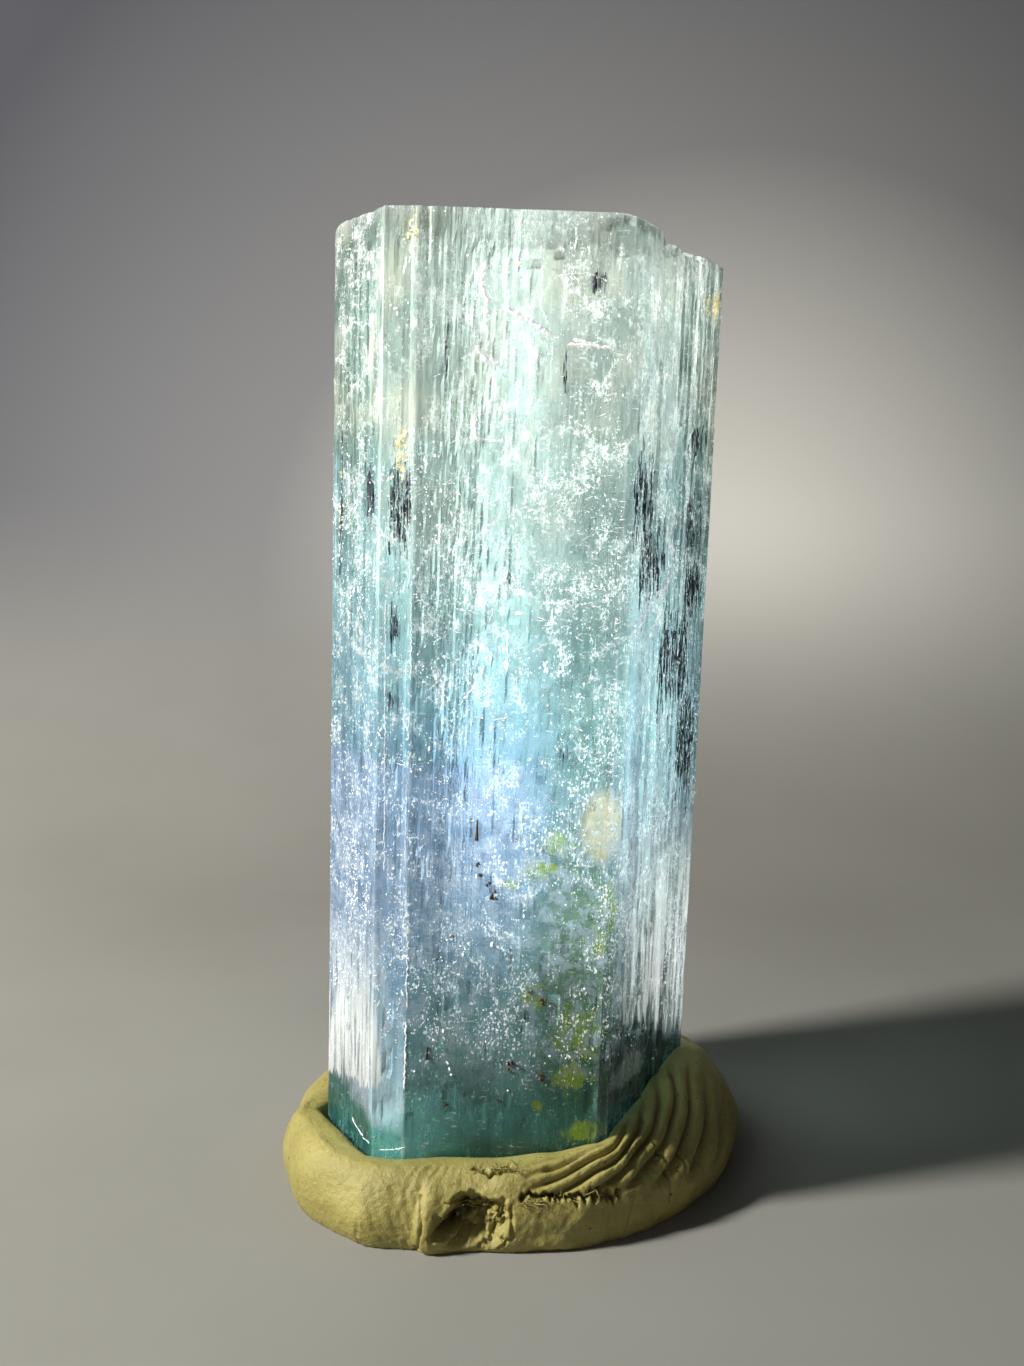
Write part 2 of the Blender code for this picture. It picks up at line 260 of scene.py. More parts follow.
def make_sides():
    rng = random.Random(7)
    lines = [(direction(b), d) for b, d in SIDE_FACES.values()]
    sides = []
    for i, name in enumerate(SIDE_FACES):
        start = corner_between(lines[i - 1], lines[i])
        end = corner_between(lines[i], lines[(i + 1) % len(lines)])
        sides.append(Side(name, start, end, rng))
    return sides


def plane_height(plane, x, y):
    (px, py, pz), (nx, ny, nz) = plane
    return pz - (nx * (x - px) + ny * (y - py)) / nz


def top_height(x, y, inset=0.0):
    """The height of the crystal's top over a point; inset is the share of the way in from the rim."""
    height = CRYSTAL_TOP
    for step, rise in ((0.13, 0.05), (0.17, 0.07)):
        height += rise if inset > step else 0.0
    for plane in TOP_BREAKS:
        height = min(height, plane_height(plane, x, y) + (0.0 if inset == 0 else 0.02))
    outward = direction(SIDE_FACES["right"][0])
    offset = Vector((x, y)) - RIGHT_FACE_START
    deep = -offset.dot(outward)
    along = offset.dot(Vector((-outward.y, outward.x)))
    if STEP_START <= along <= STEP_END:
        height = min(height, STEP_HEIGHT + STEP_SLOPE * max(0.0, deep))
    for place, half_length, half_width, proud, top in RODS:
        reach = math.hypot((along - place) / half_length, (deep + proud - half_width) / half_width)
        if reach < 1.02:
            height = max(height, top - DOME_DROP * max(0.0, (reach - 0.55) / 0.45) ** 2)
    return height


def foot_height(x, y):
    return max([0.0] + [plane_height(plane, x, y) for plane in FOOT_BREAKS])


def worn(side, along, height, top):
    """How white the stone is worn at a point of a side face, from 0 to 1: along its edges and its rim."""
    patchy = smooth(0.5 + 1.6 * noise.noise(Vector((side.seed, side.start.x, height * 1.3))))
    edge = smooth(1.0 - min(along, side.length - along) / 0.16) * patchy
    return max(edge * 0.8, smooth(1.0 - (top - height) / 0.5))


def make_shell(sides, material):
    """The stone's outer surface: one ring of columns, drawn up row by row and closed at both ends."""
    columns = []
    for side in sides:
        count = max(1, round(side.length / COLUMN))
        columns += [(side, side.length * i / count) for i in range(count)]
    bm = bmesh.new()
    column_of = bm.verts.layers.int.new("column")
    wear = bm.verts.layers.float.new("wear")
    first = bmesh.ops.create_circle(bm, segments=len(columns), radius=1.0)["verts"]
    for i, vertex in enumerate(first):
        vertex[column_of] = i

    def wall_place(column, share):
        side, along = columns[column]
        point = side.start + side.forward * along
        foot, top = foot_height(*point), top_height(*point)
        height = foot + (top - foot) * share
        point = point - side.outward * side.sunk(along, height)
        return Vector((*point, height)), worn(side, along, height, top)

    def draw_on(edges, place):
        """Draws a ring of edges on, and sets each new vertex as place says for its column."""
        ring, edges = grow(bm, edges)
        for vertex in ring:
            vertex.co, vertex[wear] = place(vertex[column_of])
        return edges

    def close(edges, rings, height_at):
        """Draws a ring of edges in towards the axis, and closes it at the middle."""
        rim = {v[column_of]: v.co.xy.copy() for e in edges for v in e.verts}
        for ring in range(1, rings):
            inset = (ring / rings) ** 1.5

            def place(column):
                point = AXIS + (rim[column] - AXIS) * (1 - inset)
                return Vector((*point, height_at(point, inset))), smooth(1 - inset / 0.05)

            edges = draw_on(edges, place)
        bmesh.ops.edgeloop_fill(bm, edges=edges)

    for vertex in first:
        vertex.co, vertex[wear] = wall_place(vertex[column_of], 0.0)
    foot_edges = bm.edges[:]
    edges = foot_edges
    for row in range(1, ROWS + 1):
        edges = draw_on(edges, lambda column: wall_place(column, row / ROWS))
    close(edges, TOP_RINGS, lambda point, inset: top_height(*point, inset))
    close(foot_edges, FOOT_RINGS, lambda point, inset: foot_height(*point))
    shell = settle(bm, "crystal_stone", material)
    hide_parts("crystal")


# ---- what lies on and in the stone -------------------------------------------------------------

# Bright edges of growth plates and cracks, each through some points near a face, with its radius.
PLATE_EDGES = (
    (((-1.60, -6.6, 37.24), (-0.60, -6.6, 36.80), (0.50, -6.6, 36.15)), 0.080),
    (((-2.69, -6.6, 35.86), (-2.35, -6.6, 35.40), (-1.73, -6.6, 35.16)), 0.090),
    (((-2.62, -6.6, 33.29), (-2.60, -6.6, 32.40), (-1.65, -6.6, 32.35)), 0.055),
    (((0.81, -6.6, 35.98), (1.60, -6.6, 35.99), (2.47, -6.6, 35.92)), 0.060),
    (((1.00, -6.6, 36.20), (1.44, -6.6, 36.12), (1.75, -6.6, 36.02)), 0.060),
    (((-2.36, -6.6, 38.87), (-2.52, -6.6, 38.04), (-2.17, -6.6, 37.33)), 0.095),
    (((-1.21, -6.6, 39.16), (-1.15, -6.6, 38.95), (-1.02, -6.6, 38.85)), 0.070),
    (((-0.30, -6.6, 37.39), (-0.05, -6.6, 37.00), (0.03, -6.6, 36.68)), 0.025),
    (((0.10, -6.6, 38.45), (1.40, -6.6, 38.62), (2.20, -6.6, 38.40)), 0.015),
    (((-5.78, -6.7, 19.62), (-5.40, -6.7, 19.66), (-4.91, -6.7, 19.60)), 0.020),
    (((-4.91, -6.7, 26.19), (-4.88, -6.7, 24.50), (-4.86, -6.7, 23.05)), 0.018),
    (((-4.91, -6.7, 21.66), (-4.93, -6.7, 20.65)), 0.016),
    (((-4.95, -6.7, 19.10), (-4.97, -6.7, 15.40)), 0.013),
    (((-4.80, -6.7, 12.30), (-4.80, -6.7, 9.40)), 0.016),
    (((-4.80, -6.7, 8.90), (-4.82, -6.7, 5.90)), 0.026),
    (((-5.96, -6.7, 26.16), (-5.90, -6.7, 22.0), (-5.84, -6.7, 15.20)), 0.016),
    (((-1.23, -6.6, 27.46), (-1.30, -6.6, 26.2), (-1.33, -6.6, 25.52)), 0.024),
    (((-1.16, -6.6, 25.13), (-1.07, -6.6, 23.48)), 0.026),
    (((-1.73, -6.6, 25.90), (-1.87, -6.6, 25.31)), 0.028),
    (((-2.92, -6.6, 22.11), (-2.35, -6.6, 22.93)), 0.022),
    (((0.29, -6.6, 26.15), (1.10, -6.6, 26.37), (1.50, -6.6, 25.91)), 0.018),
    (((1.22, -6.6, 27.15), (1.99, -6.6, 27.25)), 0.016),
    (((-7.31, -4.61, 3.50), (-6.80, -5.4, 3.20), (-6.30, -6.26, 3.22)), 0.016),
    (((-5.84, -6.75, 3.10), (-5.30, -6.7, 3.15), (-4.75, -6.7, 3.35)), 0.015),
    (((-6.34, -6.21, 1.95), (-5.60, -6.7, 1.80), (-4.80, -6.7, 2.00)), 0.014),
    (((-5.84, -6.75, 2.28), (-5.60, -6.7, 2.50), (-5.40, -6.7, 2.42)), 0.034),
    (((3.76, -5.96, 25.29), (4.13, -5.29, 25.55), (4.58, -4.46, 26.20), (5.78, -2.27, 27.17)), 0.040),
    (((3.84, -5.83, 24.80), (4.37, -4.84, 25.59), (4.84, -3.98, 26.08), (5.68, -2.45, 26.97)), 0.030),
    (((5.65, -2.50, 27.40), (5.46, -2.84, 27.00), (4.82, -4.02, 26.46)), 0.030),
    (((6.45, -1.04, 31.15), (6.41, -1.11, 30.09), (6.43, -1.08, 29.03)), 0.022),
)

# Dark bands, partly crowded upright growth tubes and partly painted dark reflection: the middle of each and
# its half sizes.
DARK_BANDS = (
    ((-5.44, -6.70, 29.71), (0.42, 0.4, 2.00)),
    ((-5.59, -6.70, 25.10), (0.19, 0.4, 0.90)),
    ((-3.75, -6.65, 35.54), (0.05, 0.4, 1.70)),
    ((1.88, -6.52, 38.33), (0.30, 0.4, 0.35)),
    ((0.73, -6.55, 34.96), (0.07, 0.4, 0.90)),
    ((-8.17, -3.21, 30.06), (0.20, 0.30, 2.70)),
    ((-6.73, -5.57, 30.24), (0.44, 0.70, 1.10)),
    ((4.13, -5.29, 30.27), (0.55, 1.02, 1.75)),
    ((4.55, -4.52, 27.79), (0.55, 1.00, 1.70)),
    ((6.68, -0.61, 32.78), (0.45, 0.85, 0.70)),
    ((6.61, -0.75, 29.02), (0.50, 0.90, 1.30)),
    ((5.94, -1.97, 23.60), (0.90, 1.60, 2.30)),
    ((6.85, -0.30, 26.40), (0.40, 0.80, 1.40)),
    ((6.90, -0.20, 19.60), (0.40, 0.80, 3.00)),
    ((-1.16, -6.59, 27.08), (0.07, 0.4, 0.80)),
    ((-5.56, -6.70, 22.14), (0.22, 0.4, 0.40)),
    ((1.27, -6.53, 20.19), (0.22, 0.4, 0.25)),
)

# Crowds of bright flakes, painted glints: the middle of each and its half sizes.
GLINT_CROWDS = (
    ((-5.47, -6.70, 26.90), (0.30, 0.1, 0.70)),
    ((-3.78, -6.66, 24.94), (0.55, 0.1, 0.80)),
    ((-4.00, -6.66, 23.14), (0.70, 0.1, 0.65)),
    ((-3.05, -6.64, 27.00), (0.40, 0.1, 0.56)),
    ((0.53, -6.55, 27.38), (0.90, 0.1, 0.35)),
    ((-0.23, -6.57, 26.35), (0.50, 0.1, 0.35)),
    ((1.76, -6.52, 23.32), (0.80, 0.1, 0.25)),
    ((1.74, -6.52, 20.73), (0.90, 0.1, 1.10)),
    ((-8.25, -3.09, 20.10), (0.39, 0.63, 1.30)),
    ((-4.97, -6.68, 19.70), (0.80, 0.1, 0.34)),
    ((-3.63, -6.65, 19.05), (0.60, 0.1, 0.45)),
    ((-1.09, -6.59, 19.01), (0.80, 0.1, 0.65)),
    ((0.30, -6.56, 19.62), (0.80, 0.1, 0.45)),
    ((-8.02, -3.47, 9.55), (0.56, 0.91, 1.50)),
    ((-5.31, -6.69, 12.49), (0.57, 0.1, 2.50)),
    ((-2.77, -6.63, 12.20), (0.70, 0.1, 0.90)),
    ((-1.38, -6.60, 8.90), (0.50, 0.1, 0.80)),
    ((-3.49, -6.65, 8.71), (0.57, 0.1, 0.65)),
    ((-4.45, -6.67, 30.03), (0.95, 0.1, 2.30)),
    ((-8.02, -3.47, 30.27), (0.34, 0.56, 2.80)),
    ((5.17, -3.38, 21.15), (0.80, 1.40, 0.90)),
    ((3.99, -5.54, 13.12), (0.70, 1.30, 1.80)),
    ((6.83, -0.35, 10.59), (1.00, 1.90, 3.20)),
    ((3.17, -6.49, 13.42), (0.50, 0.1, 1.30)),
    ((3.55, -6.45, 10.88), (0.25, 0.2, 0.65)),
    ((-5.46, -6.70, 8.83), (0.35, 0.1, 1.60)),
    ((1.58, -6.53, 37.45), (1.10, 0.1, 0.90)),
    ((4.53, -4.56, 27.29), (0.50, 0.90, 1.40)),
    ((-7.14, -4.89, 26.36), (0.90, 1.50, 1.20)),
    ((-1.52, -6.60, 21.55), (1.00, 0.1, 0.80)),
    ((3.20, -6.49, 19.21), (0.30, 0.1, 3.30)),
    ((-7.20, -4.80, 13.50), (0.90, 1.50, 3.00)),
    ((5.60, -2.60, 16.60), (1.20, 2.20, 2.20)),
)
GOLDEN_CROWDS = (
    ((-5.43, -6.70, 31.70), (0.30, 0.1, 0.95)),
    ((-5.11, -6.69, 39.90), (0.28, 0.1, 0.35)),
    ((-8.20, -3.15, 30.0), (0.08, 0.10, 1.60)),
    ((7.21, 0.37, 38.46), (0.40, 0.80, 0.75)),
)

# Brown and ochre needles and grains: the place of each, its half thickness and its length.
MINERALS = (
    ((-2.11, -6.62, 17.05), 0.075, 0.85),
    ((-2.04, -6.62, 15.69), 0.060, 0.20),
    ((-1.94, -6.62, 15.20), 0.055, 0.26),
    ((-1.55, -6.62, 14.85), 0.060, 0.20),
    ((-1.28, -6.62, 14.38), 0.100, 0.30),
    ((-0.57, -6.60, 7.09), 0.110, 0.20),
    ((0.81, -6.60, 6.59), 0.085, 0.20),
    ((-3.92, -6.62, 7.55), 0.045, 0.60),
    ((-0.95, -6.60, 5.55), 0.045, 0.12),
    ((0.25, -6.60, 10.30), 0.050, 0.16),
    ((0.75, -6.60, 9.95), 0.060, 0.24),
    ((-3.05, -6.62, 12.60), 0.045, 0.14),
    ((-3.6, -6.62, 11.60), 0.040, 0.12),
    ((-3.1, -6.62, 5.30), 0.050, 0.12),
    ((0.05, -6.60, 9.30), 0.035, 0.45),
)

# Cloudy healed fractures close under the faces: middle, half width, half height, the bearing that
# each faces and how far it leans.
VEILS = (
    ((4.55, -4.05, 26.2), 1.5, 0.9, -30, 38),
    ((1.45, -6.10, 37.7), 1.3, 1.0, -88, 8),
    ((-0.60, -6.05, 36.3), 1.5, 0.9, -95, 20),
    ((-4.10, -6.20, 24.6), 1.3, 2.2, -92, 4),
    ((1.50, -6.10, 20.9), 1.4, 1.5, -84, 10),
    ((-1.30, -6.15, 9.6), 1.3, 1.8, -90, -8),
    ((-4.30, -6.25, 12.6), 1.2, 2.0, -88, 5),
    ((0.70, -6.10, 27.0), 1.5, 1.1, -86, 24),
    ((5.50, -2.30, 15.2), 1.5, 2.4, -31, 5),
    ((-6.60, -4.80, 14.0), 1.3, 2.6, -148, 4),
)

# How many flakes lie all over the stone and how many dashes on its front, how many flakes the crowds
# have to the square millimetre, and the largest flakes' size. Flakes are made a batch at a time.
FLAKES, DASHES, BATCH = 11000, 190, 200
GLINTS_CROWDED, GOLDEN_CROWDED = 22, 90
LARGEST_GLINT, LARGEST_GOLDEN = 0.044, 0.080

# The reach along y that marks a dark band of the front faces: its width is its reach along x.
FLAT_BAND = 0.4


def lay_on(sides, point, proud=0.0):
    """The point of the stone's nearest side face to a point, and that face."""
    side = min(sides, key=lambda s: abs((point.xy - s.start).dot(s.outward)) + s.miss(point.xy))
    along = min(side.length - 0.01, max(0.01, (point.xy - side.start).dot(side.forward)))
    depth = side.sunk(along, point.z) - proud
    return Vector((*(side.start + side.forward * along - side.outward * depth), point.z)), side


def pour(part, bm):
    """Moves a small mesh into a larger one: operators are slow where a mesh is large."""
    mesh = bpy.data.meshes.new("part")
    part.to_mesh(mesh)
    part.free()
    bm.from_mesh(mesh)
    bpy.data.meshes.remove(mesh)


def thread(bm, points, radii, sides=3):
    """A thin rod along some points, which swells and narrows with the radii given."""
    corner = bm.verts.layers.int.get("corner") or bm.verts.layers.int.new("corner")
    for i, (point, radius) in enumerate(zip(points, radii)):
        ahead = points[min(i + 1, len(points) - 1)] - points[max(i - 1, 0)]
        turn = ahead.to_track_quat("Z", "Y").to_matrix()
        if i == 0:
            made = bmesh.ops.create_circle(bm, segments=sides, radius=1.0)["verts"]
            for k, vertex in enumerate(made):
                vertex[corner] = k
            edges = list({e for v in made for e in v.link_edges})
        else:
            made, edges = grow(bm, edges)
        for vertex in made:
            angle = math.tau * vertex[corner] / sides
            vertex.co = point + turn @ Vector((math.cos(angle), math.sin(angle), 0)) * radius


def add_flake(bm, sides, place, largest, rng):
    """One thin flake that lies nearly flat on the stone."""
    size = 0.011 + largest * rng.random() ** 3
    spot, side = lay_on(sides, place, 0.012 + size * 0.3)
    if not foot_height(*spot.xy) + 0.1 < spot.z < top_height(*spot.xy) - 0.05:
        return
    tall = rng.choice((1.0, 1.0, 1.5, 2.6))
    face = Vector((*side.outward, 0)).to_track_quat("Z", "Y").to_matrix().to_4x4()
    tilt = Matrix.Rotation(rng.gauss(0, 0.35), 4, "X") @ Matrix.Rotation(rng.gauss(0, 0.35), 4, "Y")
    turn = Matrix.Rotation(rng.gauss(0, 0.5) + (math.pi / 2 if rng.random() < 0.2 else 0), 4, "Z")
    shape = Matrix.Translation(spot) @ face @ tilt @ turn @ Matrix.Diagonal((size, size * tall, size, 1))
    bmesh.ops.create_circle(bm, cap_ends=True, segments=rng.choice((3, 4, 5)), radius=1.0, matrix=shape)


def spread_flakes(sides):
    """Places for flakes all over the sides: in clumps, and few near the foot."""
    rng = random.Random(31)
    around = [side for side in sides for _ in range(round(side.length * 4))]
    places = []
    while len(places) < FLAKES:
        side = rng.choice(around)
        height = rng.uniform(0.8, 40.7)
        spot = side.start + side.forward * rng.uniform(0, side.length)
        place = Vector((*spot, height))
        streaky = noise.noise(Vector((spot.x * 2.4, spot.y * 2.4, height * 1.1)))
        clump = 0.7 * noise.noise(place * 0.6) + 0.6 * streaky
        sparser = 0.22 * smooth((18 - height) / 4) + 0.6 * smooth((9 - height) / 5)
        sparser += 0.2 * smooth((height - 29) / 4)
        if clump > rng.uniform(-0.35, 0.8) + sparser:
            places.append(place)
    return places


def crowd_flakes(crowds, share):
    """Places for flakes in the crowds given, as many to the square millimetre as share says."""
    rng = random.Random(37)
    places = []
    for middle, (rx, ry, rz) in crowds:
        for _ in range(round(share * 4 * math.hypot(rx, ry) * rz)):
            offset = Vector((rx * rng.gauss(0, 0.5), ry * rng.gauss(0, 0.5), rz * rng.gauss(0, 0.5)))
            places.append(Vector(middle) + offset)
    return places


def make_flakes(name, sides, places, largest, material):
    """Thousands of tiny flakes on the etched faces, white and glowing as painted glints."""
    rng = random.Random(41)
    bm = bmesh.new()
    for start in range(0, len(places), BATCH):
        batch = bmesh.new()
        for place in places[start : start + BATCH]:
            add_flake(batch, sides, place, largest, rng)
        pour(batch, bm)
    piece = settle(bm, name, material)


def make_plate_edges(sides, material):
    """Bright ragged lines, where growth plates and cracks end at a face."""
    rng = random.Random(5)
    bm = bmesh.new()
    for line, radius in PLATE_EDGES:
        points = [Vector(point) for point in line]
        fine = []
        for a, b in zip(points, points[1:]):
            steps = max(2, round((b - a).length / 0.10))
            for i in range(steps):
                fine.append(lay_on(sides, a.lerp(b, i / steps) + jolt(rng) * 0.03, radius * 0.4)[0])
        fine.append(lay_on(sides, points[-1])[0])
        radii = [radius * rng.uniform(0.4, 1.5) for _ in fine]
        radii[0] = radii[-1] = 0.004
        thread(bm, fine, radii, sides=4)
    for _ in range(DASHES):
        x, z = rng.gauss(0.3, 2.0), rng.gauss(28.5, 3.6)
        slope, bend = rng.gauss(-0.05, 0.30), rng.gauss(0, 0.3)
        length = rng.uniform(0.10, 0.45)
        points = []
        for i in range(6):
            along = (i / 5 - 0.5) * length
            height = min(39.5, z + slope * along + bend * along * along + rng.uniform(-0.006, 0.006))
            points.append(lay_on(sides, Vector((min(3.2, max(-4.6, x)) + along, -6.6, height)), 0.006)[0])
        thick = rng.uniform(0.008, 0.030)
        thread(bm, points, [thick * k for k in (0.3, 1.0, 0.7, 1.2, 0.8, 0.2)])
    piece = settle(bm, "growth_plate_edges", material)


def make_tubes(sides, material):
    """Dark upright growth tubes, crowded in the bands that also hold painted dark reflection."""
    rng = random.Random(11)
    bm = bmesh.new()
    for middle, (rx, ry, rz) in DARK_BANDS:
        wide = math.hypot(rx, ry) if ry != FLAT_BAND else rx
        crowd = 40 if wide < 0.5 else 26
        batch = bmesh.new()
        for _ in range(max(3, round(crowd * 4 * wide * rz))):
            offset = Vector((rx * rng.uniform(-1, 1), ry * rng.uniform(-1, 1), rz * rng.gauss(0, 0.45)))
            if wide > rx:
                offset.y = ry / rx * offset.x
            place = Vector(middle) + offset
            length = rng.uniform(0.15, 0.8)
            steps = 4
            points = []
            for i in range(steps + 1):
                up = Vector((rng.uniform(-0.006, 0.006), 0, length * (i / steps - 0.5)))
                points.append(lay_on(sides, place + up, 0.003)[0])
            thick = rng.uniform(0.010, 0.034)
            thread(batch, points, [thick * rng.uniform(0.4, 1.2) for _ in points])
        pour(batch, bm)
    piece = settle(bm, "growth_tubes", material)


def make_minerals(sides, material):
    """Brown needles and grains of other minerals, set in the front face."""
    rng = random.Random(3)
    bm = bmesh.new()
    for place, thick, length in MINERALS:
        needle = length > 0.4
        for _ in range(1 if needle else 5):
            scatter = 0.0 if needle else thick * 0.9
            near = Vector(place) + Vector([rng.gauss(0, 1) * scatter for _ in range(3)])
            spot = lay_on(sides, near, 0.03)[0]
            size = thick * (1.2 if needle else rng.uniform(0.5, 1.2))
            tall = length * (1.0 if needle else rng.uniform(0.3, 0.6))
            turn = Matrix.Rotation(rng.uniform(-0.2, 0.2), 4, "Y")
            turn @= Matrix.Rotation(rng.uniform(0, 3), 4, "Z")
            made = bmesh.ops.create_cone(
                bm,
                cap_ends=True,
                segments=6,
                radius1=size,
                radius2=size * 0.35,
                depth=tall,
                matrix=Matrix.Translation(spot) @ turn,
            )["verts"]
            for vertex in made:
                vertex.co += jolt(rng) * size * 0.25
    piece = settle(bm, "mineral_grains", material)


def make_veils(sides, material):
    """Wavy healed fractures that cloud the stone just under its faces."""
    bm = bmesh.new()
    for index, (middle, half_width, half_height, bearing, lean) in enumerate(VEILS):
        made = bmesh.ops.create_grid(bm, x_segments=30, y_segments=30, size=1.0)["verts"]
        upright = Matrix.Rotation(math.radians(bearing + 90), 4, "Z")
        upright @= Matrix.Rotation(math.radians(lean), 4, "Y")
        upright @= Matrix.Rotation(math.pi / 2, 4, "X")
        for vertex in made:
            x, y = vertex.co.x * half_width, vertex.co.y * half_height
            wave = 0.16 * noise.noise(Vector((x * 0.9, y * 0.7, index * 7.3)))
            wave += 0.04 * noise.noise(Vector((x * 3.1, y * 1.9, index * 3.1)))
            ragged = noise.noise(Vector((vertex.co.x * 2, vertex.co.y * 2, index))) * 0.35
            kept = vertex.co.xy.length < 0.9 + ragged
            vertex.co = Vector(middle) + upright @ Vector((x, y, wave))
            inside = min((s.start - vertex.co.xy).dot(s.outward) for s in sides) > 0.1
            vertex.tag = not (kept and inside)
        bmesh.ops.delete(bm, geom=[v for v in made if v.tag], context="VERTS")
    piece = settle(bm, "healed_fractures", material, smooth_shaded=True)


# ---- the putty's form --------------------------------------------------------------------------

# Stations round the ring: bearing in degrees, then the outer radius, the height and the gap to the
# crystal, then how far the roll's crest leans in against the crystal, from 0 to 1.
PUTTY_STATIONS = (
    (-178, 10.35, 2.80, 0.60, 0.40),
    (-162, 10.95, 2.90, 0.65, 0.45),
    (-144, 11.25, 3.00, 0.55, 0.45),
    (-128, 10.85, 3.00, 0.35, 0.50),
    (-114, 9.90, 3.10, 0.30, 0.50),
    (-99, 9.05, 3.15, 0.30, 0.50),
    (-80, 8.75, 3.40, 0.30, 0.50),
    (-64, 8.75, 3.80, 0.30, 0.60),
    (-50, 8.95, 4.00, 0.30, 0.80),
    (-36, 9.30, 4.10, 0.30, 0.90),
    (-18, 9.85, 4.50, 0.30, 1.00),
    (3, 10.40, 4.70, 0.30, 1.00),
    (20, 10.50, 4.30, 0.30, 0.90),
    (40, 10.20, 3.70, 0.30, 0.70),
    (65, 9.95, 3.40, 0.30, 0.50),
    (90, 9.75, 3.30, 0.30, 0.40),
    (120, 9.80, 3.20, 0.35, 0.40),
    (150, 9.80, 2.95, 0.50, 0.40),
)
SOLID_GAP, TOUCH = 0.30, 0.03
ROLL_BELLY, ROLL_SQUARENESS, ROLL_RADIUS = 0.40, 0.80, 1.7
RING_STEPS, ROLL_STEPS = 700, 128
FINE_ANGLE, FINE_ROLL = math.radians(18), 0.45
FINE_BEARING, FINE_RING = math.radians(-84), 0.45

# Pressed ridges: the bearings that they run between, how far they climb round the roll on the way,
# how many there would be in a full turn of it, and their depth.
RIDGE_START, RIDGE_END = math.radians(-90), math.radians(4)
RIDGE_FLOOR_START, RIDGE_FLOOR_END = 0.75, -0.7
RIDGE_TWIST, RIDGES_ROUND, RIDGE_DEPTH = 2.3, 17, 0.29

PIT_BEARING, PIT_HALF_WIDTH = math.radians(-101), math.radians(9)
PIT_UP, PIT_HALF_HEIGHT, PIT_DEPTH = 0.10, 0.95, 1.15
LIP_BEARING, LIP_HALF_WIDTH, LIP_RISE = math.radians(-112.2), math.radians(2.8), 0.18

# The roll's mean reach from the origin, which turns a bearing into millimetres round it.
ROLL_REACH = 9.0

# Cracks: the points that each passes, as bearing in degrees and millimetres up the roll, its half
# width, its depth and how jagged it is.
CRACKS = (
    (((-89, 0.90), (-80, 0.72), (-69, 0.48), (-61, 0.30)), 0.12, 0.34, 0.13),
    (((-107, 0.45), (-101, 0.36), (-95, 0.30)), 0.045, 0.22, 0.03),
    (((-126.5, -0.15), (-127.5, -0.9), (-126.5, -1.8)), 0.045, 0.08, 0.05),
    (((-114.5, 0.95), (-112.8, 0.1), (-114.0, -1.0), (-117.0, -1.8)), 0.07, 0.13, 0.05),
    (((-45.0, 1.30), (-43.5, 0.6), (-44.5, -0.3)), 0.08, 0.12, 0.05),
    (((-37.0, 0.9), (-38.5, 0.1)), 0.05, 0.14, 0.04),
    (((-92.0, 0.55), (-91.0, -0.3), (-94.5, -1.0)), 0.08, 0.14, 0.08),
    (((-57.0, 0.0), (-58.5, -0.9), (-61.0, -1.6)), 0.08, 0.09, 0.06),
    (((-103.0, 2.35), (-98.0, 2.0), (-92.5, 2.25)), 0.16, 0.30, 0.12),
)


@functools.cache
def station_values(bearing):
    """Outer radius, height, gap and lean of the roll at a bearing in radians, eased between stations."""
    stations = [(math.radians(s[0]), *s[1:]) for s in PUTTY_STATIONS]
    place = stations[0][0] + (bearing - stations[0][0]) % math.tau
    for low, high in zip(stations, stations[1:] + [(stations[0][0] + math.tau, *stations[0][1:])]):
        if place <= high[0]:
            share = smooth((place - low[0]) / (high[0] - low[0]))
            return [a + (b - a) * share for a, b in zip(low[1:], high[1:])]


@functools.cache
def crystal_reach(bearing):
    """How far the crystal's plain outline is from the origin along a bearing."""
    along = Vector((math.cos(bearing), math.sin(bearing)))
    reach = math.inf
    for face_bearing, distance in SIDE_FACES.values():
        normal = direction(face_bearing)
        if normal.dot(along) > 1e-6:
            reach = min(reach, (distance + normal.dot(AXIS)) / normal.dot(along))
    return reach


def rounded(value):
    """A sine or cosine, pushed out so that the roll is a little square in section."""
    return math.copysign(abs(value) ** ROLL_SQUARENESS, value)


def ridge_grooves(bearing, angle, up):
    """How deep the grooves between the pressed ridges are."""
    share = (bearing - RIDGE_START) / (RIDGE_END - RIDGE_START)
    if not 0.0 < share < 1.0:
        return 0.0
    floor = RIDGE_FLOOR_START + (RIDGE_FLOOR_END - RIDGE_FLOOR_START) * share
    strength = smooth(share / 0.12) * smooth((1.0 - share) / 0.30) * smooth((up - floor) / 0.3)
    wander = 0.16 * noise.noise(Vector((bearing * 5, up * 0.8, 4.0)))
    turns = (angle - RIDGE_TWIST * share) * RIDGES_ROUND / math.tau + wander
    return RIDGE_DEPTH * strength * (0.5 - 0.5 * math.cos(math.tau * turns)) ** 2.0


def crack_depth(bearing, up):
    """How deep the cracks are at a point of the roll's outer side."""
    deepest = 0.0
    for points, half_width, depth, jag in CRACKS:
        spots = [Vector((math.radians(b) * ROLL_REACH, u)) for b, u in points]
        place = Vector((bearing * ROLL_REACH, up))
        place.y += jag * noise.noise(Vector((place.x * 4.5, place.y * 2, half_width * 50))) * 2
        for a, b in zip(spots, spots[1:]):
            along = min(1.0, max(0.0, (place - a).dot(b - a) / (b - a).length_squared))
            away = (place - a.lerp(b, along)).length
            deepest = max(deepest, depth * smooth(1.3 - away / half_width))
    return deepest


def band(bearing, low, high, ease):
    """From 0 to 1 within a range of bearings in degrees, eased at both ends."""
    degrees = math.degrees(bearing)
    return smooth((degrees - low) / ease + 0.5) * smooth((high - degrees) / ease + 0.5)


